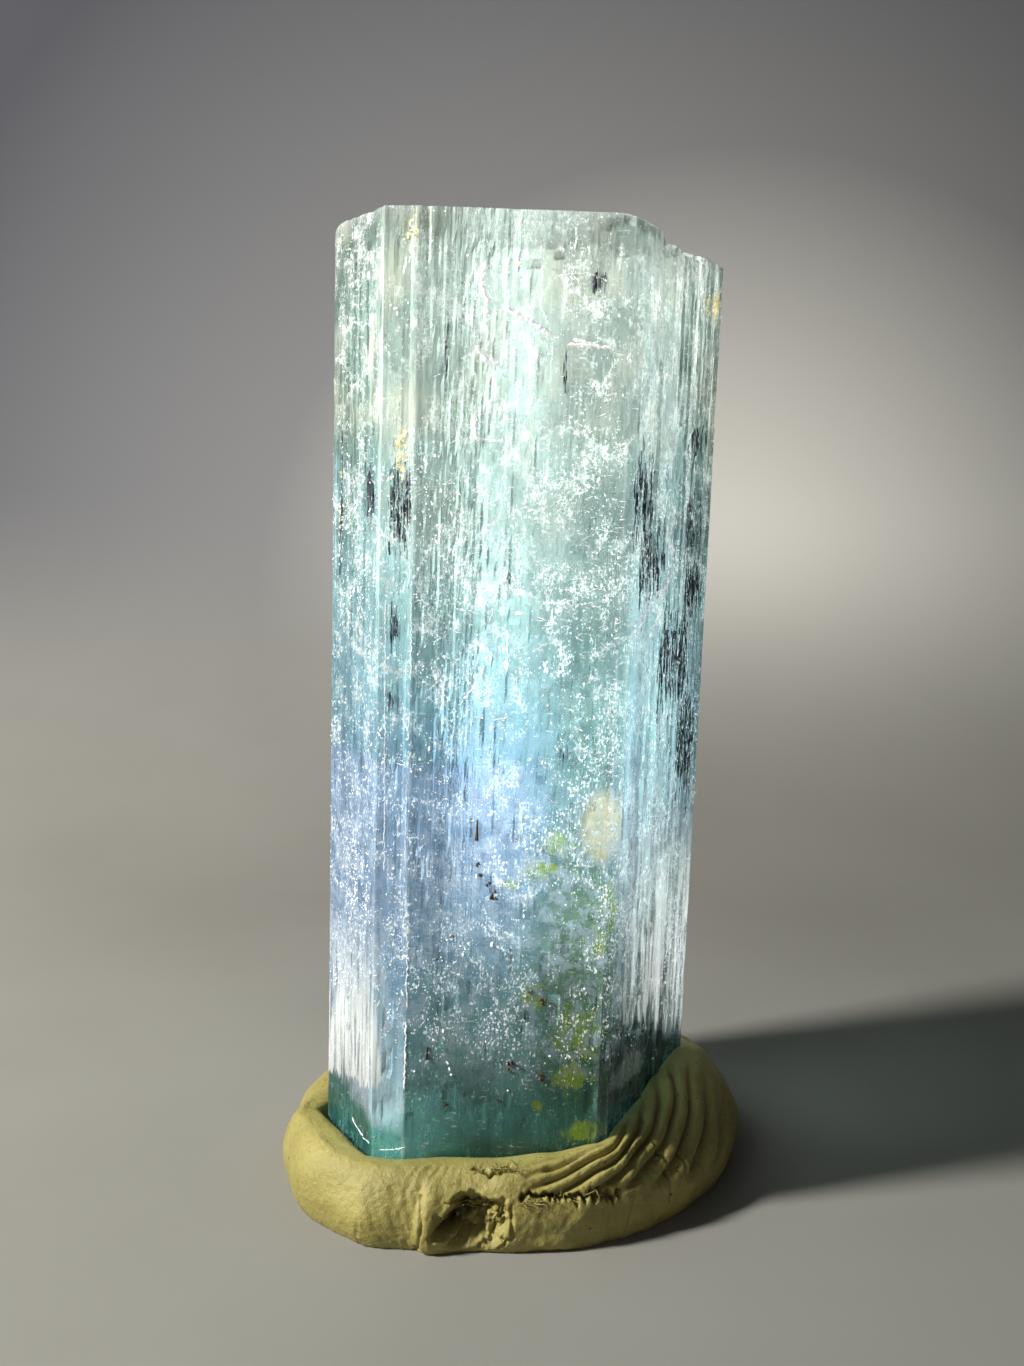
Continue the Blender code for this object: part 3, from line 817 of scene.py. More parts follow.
def dents(bearing, angle, place):
    """How far the surface lies inside the smooth roll, from lumps to crumbs, and how dark it is painted:
    partly dirt, partly painted shade in its grooves, cracks and pit.
    """
    up = ROLL_RADIUS * angle
    across = (bearing - PIT_BEARING) / PIT_HALF_WIDTH
    along = (up - PIT_UP) / PIT_HALF_HEIGHT
    ragged = 0.42 * noise.noise(Vector((bearing * 13, up * 1.7, 1.0)))
    ragged += 0.16 * noise.noise(Vector((bearing * 40, up * 4.5, 1.0)))
    pit = smooth((1.12 - math.hypot(across, along) + ragged) / 0.42)
    floor = 0.78 - 0.40 * across + 0.30 * noise.noise(Vector((bearing * 22, up * 2.2, 8.0)))
    crumbs = noise.fractal(place * 3.6, 0.7, 2.2, 4) * 0.30
    lip = smooth(1.3 - math.hypot((bearing - LIP_BEARING) / LIP_HALF_WIDTH, up / 1.6)) * (1 - pit)
    lumps = 0.11 * noise.noise(place * 0.45) + 0.045 * noise.noise(place * 1.3)
    skin = 0.022 * noise.noise(place * 4.5) + 0.030 * band(bearing, -106, 60, 20) * noise.noise(place * 2.6)
    folds = 0.16 * band(bearing, -88, -48, 10) * smooth((0.1 - up) / 0.6)
    folds *= noise.noise(Vector((bearing * 7, up * 1.3 + bearing * 3, 6.0)))
    stretch = 0.05 * band(bearing, -128, -113, 5) * smooth((1.6 - abs(up)) / 0.5)
    stretch *= noise.noise(Vector((bearing * 44 + up * 2.2, up * 0.8, 2.0)))
    curl = bearing * 150 + 2.4 * math.sin(up * 0.9 + 0.6)
    curl += 5.0 * noise.noise(Vector((bearing * 20, up * 1.2, 5.0)))
    flap = 0.035 * band(bearing, -119, -109, 5) * math.sin(curl)
    flap *= 0.4 + noise.noise(Vector((bearing * 9, up, 3.0)))
    depth = (PIT_DEPTH * floor + crumbs) * pit + flap * (1 - pit) - LIP_RISE * lip
    depth += lumps + skin + folds + stretch
    grooves = ridge_grooves(bearing, angle, up) * (1 - pit)
    cracks = crack_depth(bearing, up)
    # Grooves, cracks and the pit are darkened: partly dirt, partly painted shade in the hollows.
    soiled_and_shaded = 0.7 * grooves + 0.75 * cracks + pit * (0.06 + 0.62 * max(0.0, floor - 0.62) + 0.5 * crumbs)
    return depth + grooves + cracks, soiled_and_shaded


def roll_point(bearing, angle):
    """The putty's surface at a bearing round the ring and an angle round the roll, and how dark it is
    painted there, partly as dirt and partly as shade.
    """
    outer, height, gap, lean = station_values(bearing)
    inner = crystal_reach(bearing) + gap
    half_width = (outer - inner) / 2
    belly = height * ROLL_BELLY
    rise = (height - belly) if math.sin(angle) > 0 else belly * 1.25
    z = belly + rise * rounded(math.sin(angle))
    radius = inner + half_width + half_width * rounded(math.cos(angle))
    radius -= lean * half_width * max(0.0, math.sin(angle))
    closest = inner - min(gap, SOLID_GAP) + TOUCH
    radius -= (inner - closest) * smooth(1.0 - (radius - inner) / 0.8)
    out = Vector((math.cos(bearing), math.sin(bearing), 0))
    point = out * radius + Vector((0, 0, z))
    share = smooth(math.cos(angle) * 4) if abs(angle) < math.pi / 2 else 0.0
    depth, soiled_and_shaded = dents(bearing, angle, point) if share > 0 else (0.0, 0.0)
    depth = depth * share + (1 - share) * 0.08 * noise.noise(point * 0.6)
    radius = max(closest, radius - depth * math.cos(angle))
    return out * radius + Vector((0, 0, max(0.0, z - depth * math.sin(angle)))), soiled_and_shaded


def ring_bearing(step):
    """The bearing of a step round the ring, with the steps crowded round the detailed front."""
    angle = math.tau * step / RING_STEPS
    return math.remainder(FINE_BEARING + angle - FINE_RING * math.sin(angle), math.tau)


def roll_angle(step):
    """The angle of a step round the roll's section, with the steps crowded on its outer side."""
    turn = math.tau * step / ROLL_STEPS
    return math.remainder(FINE_ANGLE + turn - FINE_ROLL * math.sin(turn), math.tau)


def make_putty(material):
    """The roll's section is drawn round the crystal's foot and joined to its own start."""
    bm = bmesh.new()
    corner = bm.verts.layers.int.new("corner")
    # How dark each point is painted: partly dirt, partly shade in the hollows.
    soil_and_shade = bm.verts.layers.float.new("soil_and_shade")
    first = bmesh.ops.create_circle(bm, segments=ROLL_STEPS, radius=1.0)["verts"]
    for i, vertex in enumerate(first):
        vertex[corner] = i
    ring = first
    edges = start_edges = bm.edges[:]
    for step in range(RING_STEPS):
        if step:
            ring, edges = grow(bm, edges)
        bearing = ring_bearing(step)
        for vertex in ring:
            vertex.co, vertex[soil_and_shade] = roll_point(bearing, roll_angle(vertex[corner]))
    bmesh.ops.bridge_loops(bm, edges=start_edges + edges)
    ring_piece = settle(bm, "putty_roll", material, smooth_shaded=True)
    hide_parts("putty_ring")


def make_fibres(material):
    """Torn strands of putty along the seam and the crack."""
    rng = random.Random(23)
    bm = bmesh.new()
    strips = ((-104, -90, 2.15, 0.25, 90), (-89, -66, 0.62, 0.16, 50), (-109, -93, 0.55, 0.35, 40))
    for low, high, up, spread, count in strips:
        for _ in range(count):
            bearing = math.radians(rng.uniform(low, high))
            angle = (up + rng.uniform(-spread, spread)) / ROLL_RADIUS
            root = roll_point(bearing, angle)[0]
            round_roll = math.cos(angle)
            out = Vector((math.cos(bearing) * round_roll, math.sin(bearing) * round_roll, math.sin(angle)))
            side = Vector((rng.gauss(0, 1), rng.gauss(0, 1), rng.gauss(0, 1) + 0.3)).normalized()
            length = rng.uniform(0.10, 0.36)
            points = [
                root - out * 0.04 + (out * share + side * (1.3 * share * share)) * length
                for share in (0, 0.2, 0.4, 0.6, 0.8, 1.0)
            ]
            thick = rng.uniform(0.012, 0.026)
            thread(bm, points, [thick * k for k in (1.3, 1.0, 0.9, 0.8, 0.6, 0.3)], sides=4)
    piece = settle(bm, "putty_fibres", material)


# ---- materials ---------------------------------------------------------------------------------


class Graph:
    """Short ways to add nodes to one node tree."""

    def __init__(self, tree):
        self.tree = tree

    def add(self, kind, *values, **settings):
        node = self.tree.nodes.new("ShaderNode" + kind)
        for name, value in settings.items():
            setattr(node, name, value)
        for socket, value in zip(node.inputs, values):
            self.set(socket, value)
        return node

    def set(self, socket, value):
        if isinstance(value, bpy.types.NodeSocket):
            self.tree.links.new(value, socket)
        elif value is not None:
            socket.default_value = value

    def maths(self, operation, *values):
        return self.add("Math", *values, operation=operation).outputs[0]

    def joined(self, operation, values):
        """One value made from many, two at a time from the first on."""
        total = values[0]
        for value in values[1:]:
            total = self.maths(operation, total, value)
        return total

    def times(self, *values):
        return self.joined("MULTIPLY", values)

    def plus(self, *values):
        return self.joined("ADD", values)

    def most(self, *values):
        return self.joined("MAXIMUM", values)

    def less(self, value, taken):
        return self.maths("SUBTRACT", value, taken)

    def vector(self, operation, a, b):
        return self.add("VectorMath", a, b, operation=operation).outputs[0]

    def noise(self, place, stretch, detail=2.0, roughness=0.5):
        """Noise from 0 to 1, with as many bumps to the millimetre as stretch says along each axis."""
        grain = self.add("TexNoise", self.vector("MULTIPLY", place, stretch))
        grain.inputs["Scale"].default_value = 1.0
        grain.inputs["Detail"].default_value = detail
        grain.inputs["Roughness"].default_value = roughness
        return grain.outputs[0]

    def between(self, value, low, high, to_low=0.0, to_high=1.0):
        """Eases from to_low to to_high as the value goes from low to high."""
        node = self.add("MapRange", value, low, high, to_low, to_high, interpolation_type="SMOOTHSTEP")
        return node.outputs[0]

    def mix(self, share, a, b, blend="MIX"):
        node = self.add("Mix", data_type="RGBA", blend_type=blend)
        for socket, value in ((node.inputs[0], share), (node.inputs[6], a), (node.inputs[7], b)):
            self.set(socket, value)
        return node.outputs[2]

    def ramp(self, value, *stops):
        """A colour that changes smoothly through stops, each a value and a colour."""
        low, high = stops[0][0], stops[-1][0]
        node = self.add("ValToRGB", self.add("MapRange", value, low, high, 0.0, 1.0).outputs[0])
        elements = node.color_ramp.elements
        while len(elements) < len(stops):
            elements.new(0.5)
        for element, (place, colour) in zip(elements, stops):
            element.position = (place - low) / (high - low)
            element.color = colour
        return node.outputs[0]

    def grey(self, value):
        return self.add("CombineColor", value, value, value).outputs[0]

    def away(self, place, centre, reach):
        """How far a place is from a centre, as a share of the reach along each axis."""
        offset = self.vector("DIVIDE", self.vector("SUBTRACT", place, centre), reach)
        return self.add("VectorMath", offset, operation="LENGTH").outputs["Value"]


def colour(red, green, blue):
    """A colour given as display values from 0 to 255, as Blender's linear values."""
    def linear(value):
        value /= 255
        return value / 12.92 if value <= 0.04045 else ((value + 0.055) / 1.055) ** 2.4

    return (linear(red), linear(green), linear(blue), 1.0)


def new_group(name, inputs, outputs):
    """A node group, with its inputs as (name, kind, default) and outputs as (name, kind)."""
    tree = bpy.data.node_groups.new(name, "ShaderNodeTree")
    for label, kind, default in inputs:
        socket = tree.interface.new_socket(name=label, in_out="INPUT", socket_type="NodeSocket" + kind)
        if default is not None:
            socket.default_value = default
    for label, kind in outputs:
        tree.interface.new_socket(name=label, in_out="OUTPUT", socket_type="NodeSocket" + kind)
    return Graph(tree), tree.nodes.new("NodeGroupInput").outputs, tree.nodes.new("NodeGroupOutput").inputs


def specks_group():
    """Small specks: each cell of the pattern holds one, if its own draw is low enough."""
    graph, given, put = new_group(
        "Specks",
        (("Position", "Vector", None), ("Size", "Float", 0.25), ("Share", "Float", 0.3)),
        (("Mask", "Float"),),
    )
    cells = graph.add("TexVoronoi", given["Position"])
    cells.inputs["Scale"].default_value = 1.0
    draw = graph.add("SeparateColor", cells.outputs["Color"])
    size = graph.times(given["Size"], graph.plus(draw.outputs[1], 0.4))
    near = graph.between(cells.outputs["Distance"], size, graph.times(size, 0.5))
    kept = graph.maths("LESS_THAN", draw.outputs[0], given["Share"])
    graph.set(put["Mask"], graph.times(near, kept))
    return graph.tree


def stain_group():
    """A soft blotch round a centre, broken up by a grain that is given as a value."""
    graph, given, put = new_group(
        "Stain",
        (
            ("Position", "Vector", None),
            ("Centre", "Vector", None),
            ("Reach", "Vector", None),
            ("Grain", "Float", 0.0),
        ),
        (("Mask", "Float"),),
    )
    away = graph.away(given["Position"], given["Centre"], given["Reach"])
    graph.set(put["Mask"], graph.between(graph.plus(away, given["Grain"]), 1.12, 0.5))
    return graph.tree


class Finish(Graph):
    """A material, with the millimetre position in the specimen's frame and the shared groups."""

    groups = {}

    def __init__(self, name, **values):
        self.material = bpy.data.materials.new(name)
        self.material.use_nodes = True
        super().__init__(self.material.node_tree)
        self.shader = self.tree.nodes["Principled BSDF"]
        self.finish(**values)
        frame_place = self.add("TexCoord").outputs["Object"]
        mapping = self.add("Mapping", frame_place, tuple(-PLACE / MM), (0, 0, 0), (1 / MM, 1 / MM, 1 / MM))
        self.place = mapping.outputs[0]
        self.x, self.y, self.z = self.add("SeparateXYZ", self.place).outputs

    def group(self, name, *values):
        if name not in Finish.groups:
            Finish.groups[name] = {"Specks": specks_group, "Stain": stain_group}[name]()
        node = self.tree.nodes.new("ShaderNodeGroup")
        node.node_tree = Finish.groups[name]
        for socket, value in zip(node.inputs, values):
            self.set(socket, value)
        return node.outputs[0]

    def finish(self, **values):
        """Sets or links the shader's inputs, named with _ for a space."""
        for label, value in values.items():
            self.set(self.shader.inputs[label.replace("_", " ")], value)

    def bump(self, height, distance, strength):
        node = self.add("Bump")
        node.inputs["Strength"].default_value = strength
        node.inputs["Distance"].default_value = distance * MM
        self.set(node.inputs["Height"], height)
        return node.outputs[0]


YELLOW_STAINS = (
    ((0.34, -6.5, 10.00), (0.60, 1.0, 0.60)),
    ((2.25, -6.5, 8.46), (1.00, 1.0, 1.25)),
    ((2.00, -6.5, 6.60), (0.90, 1.0, 0.70)),
    ((2.62, -6.5, 4.20), (0.90, 1.0, 0.50)),
    ((0.46, -6.5, 15.46), (0.90, 1.0, 0.45)),
    ((1.10, -6.5, 16.60), (0.60, 1.0, 0.50)),
    ((3.01, -6.5, 12.47), (0.40, 1.0, 0.80)),
    ((2.48, -6.5, 12.39), (0.22, 1.0, 0.32)),
    ((3.40, -6.4, 14.00), (0.45, 1.0, 1.00)),
    ((7.14, 0.23, 13.05), (0.55, 1.0, 1.30)),
    ((5.76, -2.30, 11.55), (0.80, 1.4, 1.30)),
    ((7.26, 0.44, 8.62), (0.30, 0.6, 1.60)),
    ((-0.72, -6.5, 14.81), (0.35, 1.0, 0.22)),
    ((0.71, -6.5, 5.35), (0.28, 1.0, 0.22)),
)
CREAM_SPOT = ((2.95, -6.4, 17.30), (1.05, 1.4, 1.65))
PALE_PATCH = ((4.6, -4.5, 6.0), (1.30, 2.4, 0.75))
WIDE_STAIN = ((2.3, -6.5, 11.2), (2.0, 1.6, 5.4))

# colours down the faces of the stone, each as a height and display values from 0 to 255; they are partly
# the stone's own colour zones and partly painted light, each face toned to how brightly it was lit and the
# low faces lightened where light came through them
FRONT_LEFT = (
    (2.6, 36, 102, 88),
    (5.2, 72, 136, 132),
    (8.2, 134, 186, 192),
    (11.4, 126, 174, 186),
    (16.2, 102, 150, 178),
    (19.6, 118, 166, 186),
    (25.5, 158, 196, 196),
    (33.0, 188, 212, 204),
    (39.8, 208, 226, 216),
)
FRONT_RIGHT = (
    (2.8, 26, 92, 76),
    (6.2, 34, 108, 84),
    (9.0, 98, 146, 128),
    (13.5, 94, 136, 122),
    (17.0, 70, 116, 112),
    (22.9, 110, 148, 146),
    (29.7, 122, 150, 144),
    (39.8, 162, 180, 170),
)
LEFT_FACE = (
    (4.3, 58, 116, 110),
    (5.4, 190, 208, 226),
    (9.5, 120, 154, 190),
    (12.9, 92, 134, 174),
    (19.6, 120, 166, 192),
    (26.3, 150, 194, 202),
    (33.0, 116, 146, 138),
    (39.8, 112, 132, 124),
)
RIGHT_FACE = (
    (5.6, 30, 74, 70),
    (7.0, 220, 240, 238),
    (13.3, 200, 226, 224),
    (16.6, 166, 208, 214),
    (23.4, 168, 210, 220),
    (30.0, 142, 176, 178),
    (36.8, 190, 210, 200),
)
VIOLET, WARM, SMOKE, BAND = (150, 176, 218), (200, 206, 188), (78, 94, 104), (58, 60, 76)
OLIVE, YELLOW, CREAM, PALE = (120, 158, 84), (146, 176, 10), (232, 212, 160), (186, 204, 190)
MILK, WHITE = (196, 214, 238), (250, 254, 252)


class Stone(Finish):
    """The aquamarine's finish: a colour for each face, with one effect after another laid over it."""

    def __init__(self):
        super().__init__("Aquamarine", Roughness=0.2, IOR=1.575, Transmission_Weight=0.55)
        self.broad = self.noise(self.place, (2.6, 2.6, 0.22), 3.0, 0.6)
        self.fine = self.noise(self.place, (15.0, 15.0, 0.9), 3.0, 0.62)
        self.mottle = self.noise(self.place, (1.0, 1.0, 0.75), 5.0, 0.68)
        self.grain = self.noise(self.place, (11.0, 11.0, 7.0), 2.0, 0.6)
        self.ragged = self.noise(self.place, (2.0, 2.0, 10.0), 3.0, 0.6)
        self.torn = self.less(self.noise(self.place, (3.2, 3.2, 2.4), 4.0, 0.62), 0.5)
        along = self.plus(self.times(self.x, 0.226), self.times(self.y, 0.414))
        self.tilted = self.plus(self.z, self.less(along, 1.55))
        self.upper = self.between(self.z, 17.0, 25.0)
        self.bevel = self.between(self.x, -4.76, -4.86)
        middle = self.times(self.between(self.x, -3.0, -1.6), self.between(self.x, 2.9, 1.6))
        self.calm = self.less(1.0, self.times(middle, self.between(self.z, 18.0, 24.0, 0.0, 0.65)))
        bent = self.vector("MULTIPLY", self.add("TexNoise", self.place).outputs["Color"], (1.3, 1.3, 0.9))
        plates_at = self.vector("MULTIPLY", self.vector("ADD", self.place, bent), (0.62, 0.62, 0.46))
        plates = self.add("TexVoronoi", plates_at, None, 1.0)
        self.plate = self.add("SeparateColor", plates.outputs["Color"]).outputs[0]
        to_edge = self.add("TexVoronoi", plates_at, None, 1.0, feature="DISTANCE_TO_EDGE")
        self.plate_edge = to_edge.outputs["Distance"]
        self.tint = None

    def paint(self, mask, tone):
        self.tint = self.mix(mask, self.tint, colour(*tone))

    def stain(self, centre, reach, grain):
        return self.group("Stain", self.place, centre, reach, grain)

    def face_ramp(self, height, table):
        return self.ramp(height, *((stop, colour(*tone)) for stop, *tone in table))

    def faces(self):
        """Each face has its own run of colours from foot to top, partly its own colour and partly painted
        light, with a violet zone on the left.
        """
        warp = self.times(self.less(self.noise(self.place, (0.5, 0.5, 0.3), 3.0), 0.5), 4.0)
        height = self.plus(self.z, warp)
        left_face = self.face_ramp(height, LEFT_FACE)
        self.tint = self.mix(
            self.between(self.x, -1.5, 2.5),
            self.face_ramp(height, FRONT_LEFT),
            self.face_ramp(height, FRONT_RIGHT),
        )
        self.tint = self.mix(self.times(self.bevel, 0.6), self.tint, left_face)
        self.tint = self.mix(self.between(self.x, -6.25, -6.40), self.tint, left_face)
        right_face = self.face_ramp(self.plus(self.tilted, warp), RIGHT_FACE)
        self.tint = self.mix(self.between(self.x, 3.4, 3.9), self.tint, right_face)
        zone = self.times(self.between(self.z, 19.75, 19.55), self.between(self.z, 8.0, 14.0))
        self.paint(self.times(zone, self.between(self.x, 1.2, -1.6), 0.6), VIOLET)
        warmth = self.noise(self.place, (0.32, 0.32, 0.25), 3.0)
        self.paint(self.times(self.between(warmth, 0.45, 0.65), self.between(self.z, 24.0, 36.0)), WARM)

    def shade(self):
        """Mottling, flat growth plates and painted light on the bevel strip, as one factor on the colour.
        """
        mottled = self.between(self.mottle, 0.3, 0.7, -0.22, 0.2)
        mottled = self.times(mottled, self.between(self.z, 17.0, 25.0, 1.0, 0.55))
        plate_shade = self.times(self.less(self.plate, 0.5), self.times(self.upper, 0.30))
        shade = self.plus(self.between(self.broad, 0.3, 0.7, 0.87, 1.06), mottled)
        shade = self.plus(shade, plate_shade)
        # Painted light: the bevel strip is lightened in height bands, as if lit more.
        painted_bevel_light = self.plus(
            self.between(self.z, 21.0, 25.0, 0.40, 1.05),
            self.between(self.z, 11.0, 9.0, 0.0, 0.75),
        )
        painted_bevel_light = self.less(painted_bevel_light, self.between(self.z, 33.0, 37.0, 0.0, 0.65))
        on_bevel = self.times(self.bevel, self.between(self.x, -6.4, -6.25))
        duller = self.times(self.between(self.x, -0.8, 1.6), self.between(self.x, 3.6, 3.3))
        duller = self.times(duller, self.between(self.z, 20.0, 25.0, 0.0, 0.22))
        shade = self.times(shade, self.plus(1.0, self.times(on_bevel, painted_bevel_light)), self.less(1.0, duller))
        self.tint = self.mix(1.0, self.tint, self.grey(shade), "MULTIPLY")

    def bands(self):
        """Smoky growth lines, and the dark torn bands, which are partly painted dark reflection."""
        band_grain = self.times(self.torn, 0.9)
        band = self.most(*(self.stain(centre, reach, band_grain) for centre, reach in DARK_BANDS))
        dark = self.between(self.fine, 0.47, 0.36, 0.0, self.between(self.z, 24.0, 36.0, 0.30, 0.34))
        dark = self.times(dark, self.calm, self.between(self.z, 5.0, 17.0))
        self.paint(self.maths("MINIMUM", dark, 0.85), SMOKE)
        # The dark bands: partly tube-crowded stone, partly painted reflection of dark surroundings.
        band_depth = self.between(self.x, 3.2, 3.8, 0.85, 0.50)
        self.paint(self.times(band, self.between(self.fine, 0.54, 0.46, 0.10, band_depth)), BAND)

    def stains(self):
        """The yellow-green stains, the cream spot, the pale patch and the milky clouds low down."""
        ragged_edge = self.times(self.torn, 3.0)
        soft_edge = self.times(self.torn, 0.25)
        self.paint(self.times(self.stain(*WIDE_STAIN, ragged_edge), 0.35), OLIVE)
        for centre, reach in YELLOW_STAINS:
            self.paint(self.times(self.stain(centre, reach, ragged_edge), 0.9), YELLOW)
        self.paint(self.times(self.stain(*CREAM_SPOT, soft_edge), 0.95), CREAM)
        self.paint(self.times(self.stain(*PALE_PATCH, soft_edge), 0.9), PALE)
        low = self.times(self.between(self.z, 5.5, 8.5), self.between(self.z, 20.0, 15.0))
        cloud = self.noise(self.place, (1.7, 1.7, 1.5), 5.0, 0.7)
        self.paint(self.times(low, self.between(cloud, 0.44, 0.60, 0.0, 0.7)), MILK)

    def frost(self):
        """Where the left and right faces are frosted, with a frayed lower end."""
        frayed = self.between(self.noise(self.place, (6.0, 6.0, 0.2), 2.0), 0.3, 0.7, -0.25, 0.25)
        ends = self.less(self.plus(self.z, frayed), self.times(self.x, 0.5))
        left = self.times(self.between(ends, 8.75, 8.95), self.between(self.z, 14.0, 6.0))
        left = self.times(left, self.between(self.x, -5.4, -6.2))
        ends = self.plus(self.tilted, self.times(frayed, 2.0))
        right = self.times(self.between(ends, 5.9, 6.3), self.between(self.z, 18.0, 10.0))
        return self.most(left, self.times(right, self.between(self.x, 3.4, 5.4)))

    def painted_glints(self):
        """Painted glints: bright specks, more of them in clumps and fewer at the foot and near the top."""
        clump = self.between(self.mottle, 0.36, 0.62)
        least = self.plus(
            self.between(clump, 0.0, 1.0, 0.70, 0.56),
            self.between(self.z, 10.0, 4.0, 0.0, 0.12),
            self.between(self.z, 28.0, 33.0, 0.0, 0.03),
        )
        return self.between(self.grain, least, self.plus(least, 0.04))

    def lines(self):
        """Bright growth lines."""
        lines = self.times(
            self.between(self.fine, 0.56, 0.64),
            self.between(self.mottle, 0.42, 0.62, 0.06, 0.45),
        )
        return self.times(lines, self.calm, self.between(self.z, 5.0, 17.0, 0.05, 1.0))

    def whites(self):
        """Everything white on the stone, with painted glints, and a painted glow from its frost and glints.
        """
        streaks = self.noise(self.place, (4.6, 4.6, 0.28), 3.0, 0.6)
        frost = self.frost()
        painted_glints = self.painted_glints()
        dashes = self.times(self.between(self.ragged, 0.60, 0.68), self.between(self.broad, 0.45, 0.60))
        seen_edge = self.times(self.upper, self.between(self.mottle, 0.44, 0.54, 0.0, 0.95))
        wear = self.add("Attribute", attribute_name="wear").outputs["Fac"]
        bright = self.most(
            self.times(frost, self.between(streaks, 0.36, 0.50)),
            self.lines(),
            self.times(dashes, 0.8),
            painted_glints,
            self.times(self.between(self.plate_edge, 0.055, 0.015), seen_edge),
            self.times(wear, self.between(self.grain, 0.35, 0.5, 0.15, 0.5)),
        )
        self.paint(bright, WHITE)
        # Painted glow: glints and frost shine by emission though no lamp lights them.
        glow = self.most(painted_glints, self.times(frost, self.between(streaks, 0.44, 0.56)))
        glow = self.times(glow, self.between(self.z, 4.0, 8.0, 0.25, 1.0))
        self.finish(Emission_Color=self.grey(glow), Emission_Strength=0.35)

    def surface(self):
        """The skin's roughness and fine relief."""
        rough = self.between(self.mottle, 0.3, 0.7, 0.10, 0.32)
        rough = self.plus(rough, self.between(self.fine, 0.3, 0.7, -0.05, 0.08))
        relief = self.plus(self.times(self.fine, 0.7), self.times(self.grain, 0.7))
        relief = self.plus(relief, self.times(self.ragged, 0.3))
        relief = self.times(relief, self.calm, self.between(self.z, 4.0, 16.0, 0.45, 1.0))
        self.finish(Roughness=rough, Normal=self.bump(relief, 0.03, 0.7))

    def inside(self):
        """The body takes up a little light, and lets some of it through into its shadow."""
        absorb = self.add("VolumeAbsorption", (0.55, 0.85, 0.87, 1), 16)
        clear = self.add("BsdfTransparent", (0.12, 0.14, 0.135, 1))
        blend = self.add("MixShader", self.add("LightPath").outputs["Is Shadow Ray"])
        self.set(blend.inputs[1], self.shader.outputs[0])
        self.set(blend.inputs[2], clear.outputs[0])
        out = self.tree.nodes["Material Output"]
        self.set(out.inputs["Volume"], absorb.outputs[0])
        self.set(out.inputs["Surface"], blend.outputs[0])


def stone_material():
    stone = Stone()
    stone.faces()
    stone.shade()
    stone.bands()
    stone.stains()
    stone.whites()
    stone.finish(Base_Color=stone.tint)
    stone.surface()
    stone.inside()
    return stone.material


def flake_material(name, *tones):
    flake = Finish(name, Roughness=0.25, IOR=1.5)
    shade = flake.noise(flake.place, (6.0, 6.0, 6.0), 2.0)
    tint = flake.ramp(shade, *tones)
    # Painted glow: the flakes shine by emission, as if catching light.
    flake.finish(Base_Color=tint, Emission_Color=tint, Emission_Strength=0.45)
    return flake.material


def veil_material():
    veil = Finish("Healed fracture", Roughness=0.35, IOR=1.4)
    wisps = veil.noise(veil.place, (2.2, 2.2, 1.2), 5.0, 0.7)
    streaks = veil.noise(veil.place, (8.0, 8.0, 1.0), 3.0, 0.6)
    cover = veil.times(veil.between(wisps, 0.50, 0.68), veil.between(streaks, 0.40, 0.66))
    milk = veil.ramp(wisps, (0.4, colour(190, 220, 226)), (0.7, (1, 1, 1, 1)))
    veil.finish(Alpha=veil.times(cover, 0.6), Base_Color=milk)
    return veil.material


def grained_material(name, roughness, stretch, *tones):
    """A plain finish that changes between tones with a soft grain."""
    grained = Finish(name, Roughness=roughness)
    grained.finish(Base_Color=grained.ramp(grained.noise(grained.place, stretch, 3.0), *tones))
    return grained.material


def tube_material():
    tones = (0.35, colour(44, 50, 62)), (0.6, colour(88, 100, 112)), (0.74, colour(150, 166, 168))
    return grained_material("Growth tube", 0.3, (6.0, 6.0, 2.0), *tones)


def mineral_material():
    tones = (0.35, colour(34, 24, 16)), (0.55, colour(84, 56, 26)), (0.7, colour(132, 104, 36))
    return grained_material("Brown mineral", 0.45, (5.0, 5.0, 3.0), *tones)


def putty_material():
    putty = Finish("Putty")
    place = putty.place
    cloud = putty.noise(place, (0.5, 0.5, 0.5), 4.0)
    grain = putty.noise(place, (5.0, 5.0, 5.0), 4.0, 0.65)
    tint = putty.ramp(cloud, (0.35, colour(142, 131, 68)), (0.65, colour(163, 152, 84)))
    tint = putty.mix(putty.between(grain, 0.35, 0.7, 0.0, 0.35), tint, colour(178, 168, 104))
    # The hollows' darkening: partly dirt, partly painted shade.
    soil_and_shade = putty.add("Attribute", attribute_name="soil_and_shade").outputs["Fac"]
    tint = putty.mix(putty.between(soil_and_shade, 0.03, 0.42, 0.0, 0.88), tint, colour(58, 48, 26))
    specks = putty.group("Specks", putty.vector("MULTIPLY", place, (3.4, 3.4, 3.4)), 0.2, 0.12)
    tint = putty.mix(specks, tint, colour(60, 52, 34))
    # Painted glints: bright specks standing in for sparkle on the putty.
    painted_glints = putty.group("Specks", putty.vector("MULTIPLY", place, (7.0, 7.0, 7.0)), 0.16, 0.05)
    tint = putty.mix(painted_glints, tint, colour(255, 246, 190))
    fine = putty.noise(place, (14.0, 14.0, 14.0), 3.0, 0.6)
    relief = putty.plus(grain, putty.times(fine, 0.4))
    putty.finish(
        Base_Color=tint,
        Roughness=putty.between(grain, 0.3, 0.7, 0.34, 0.64),
        Normal=putty.bump(relief, 0.08, 0.8),
    )
    return putty.material


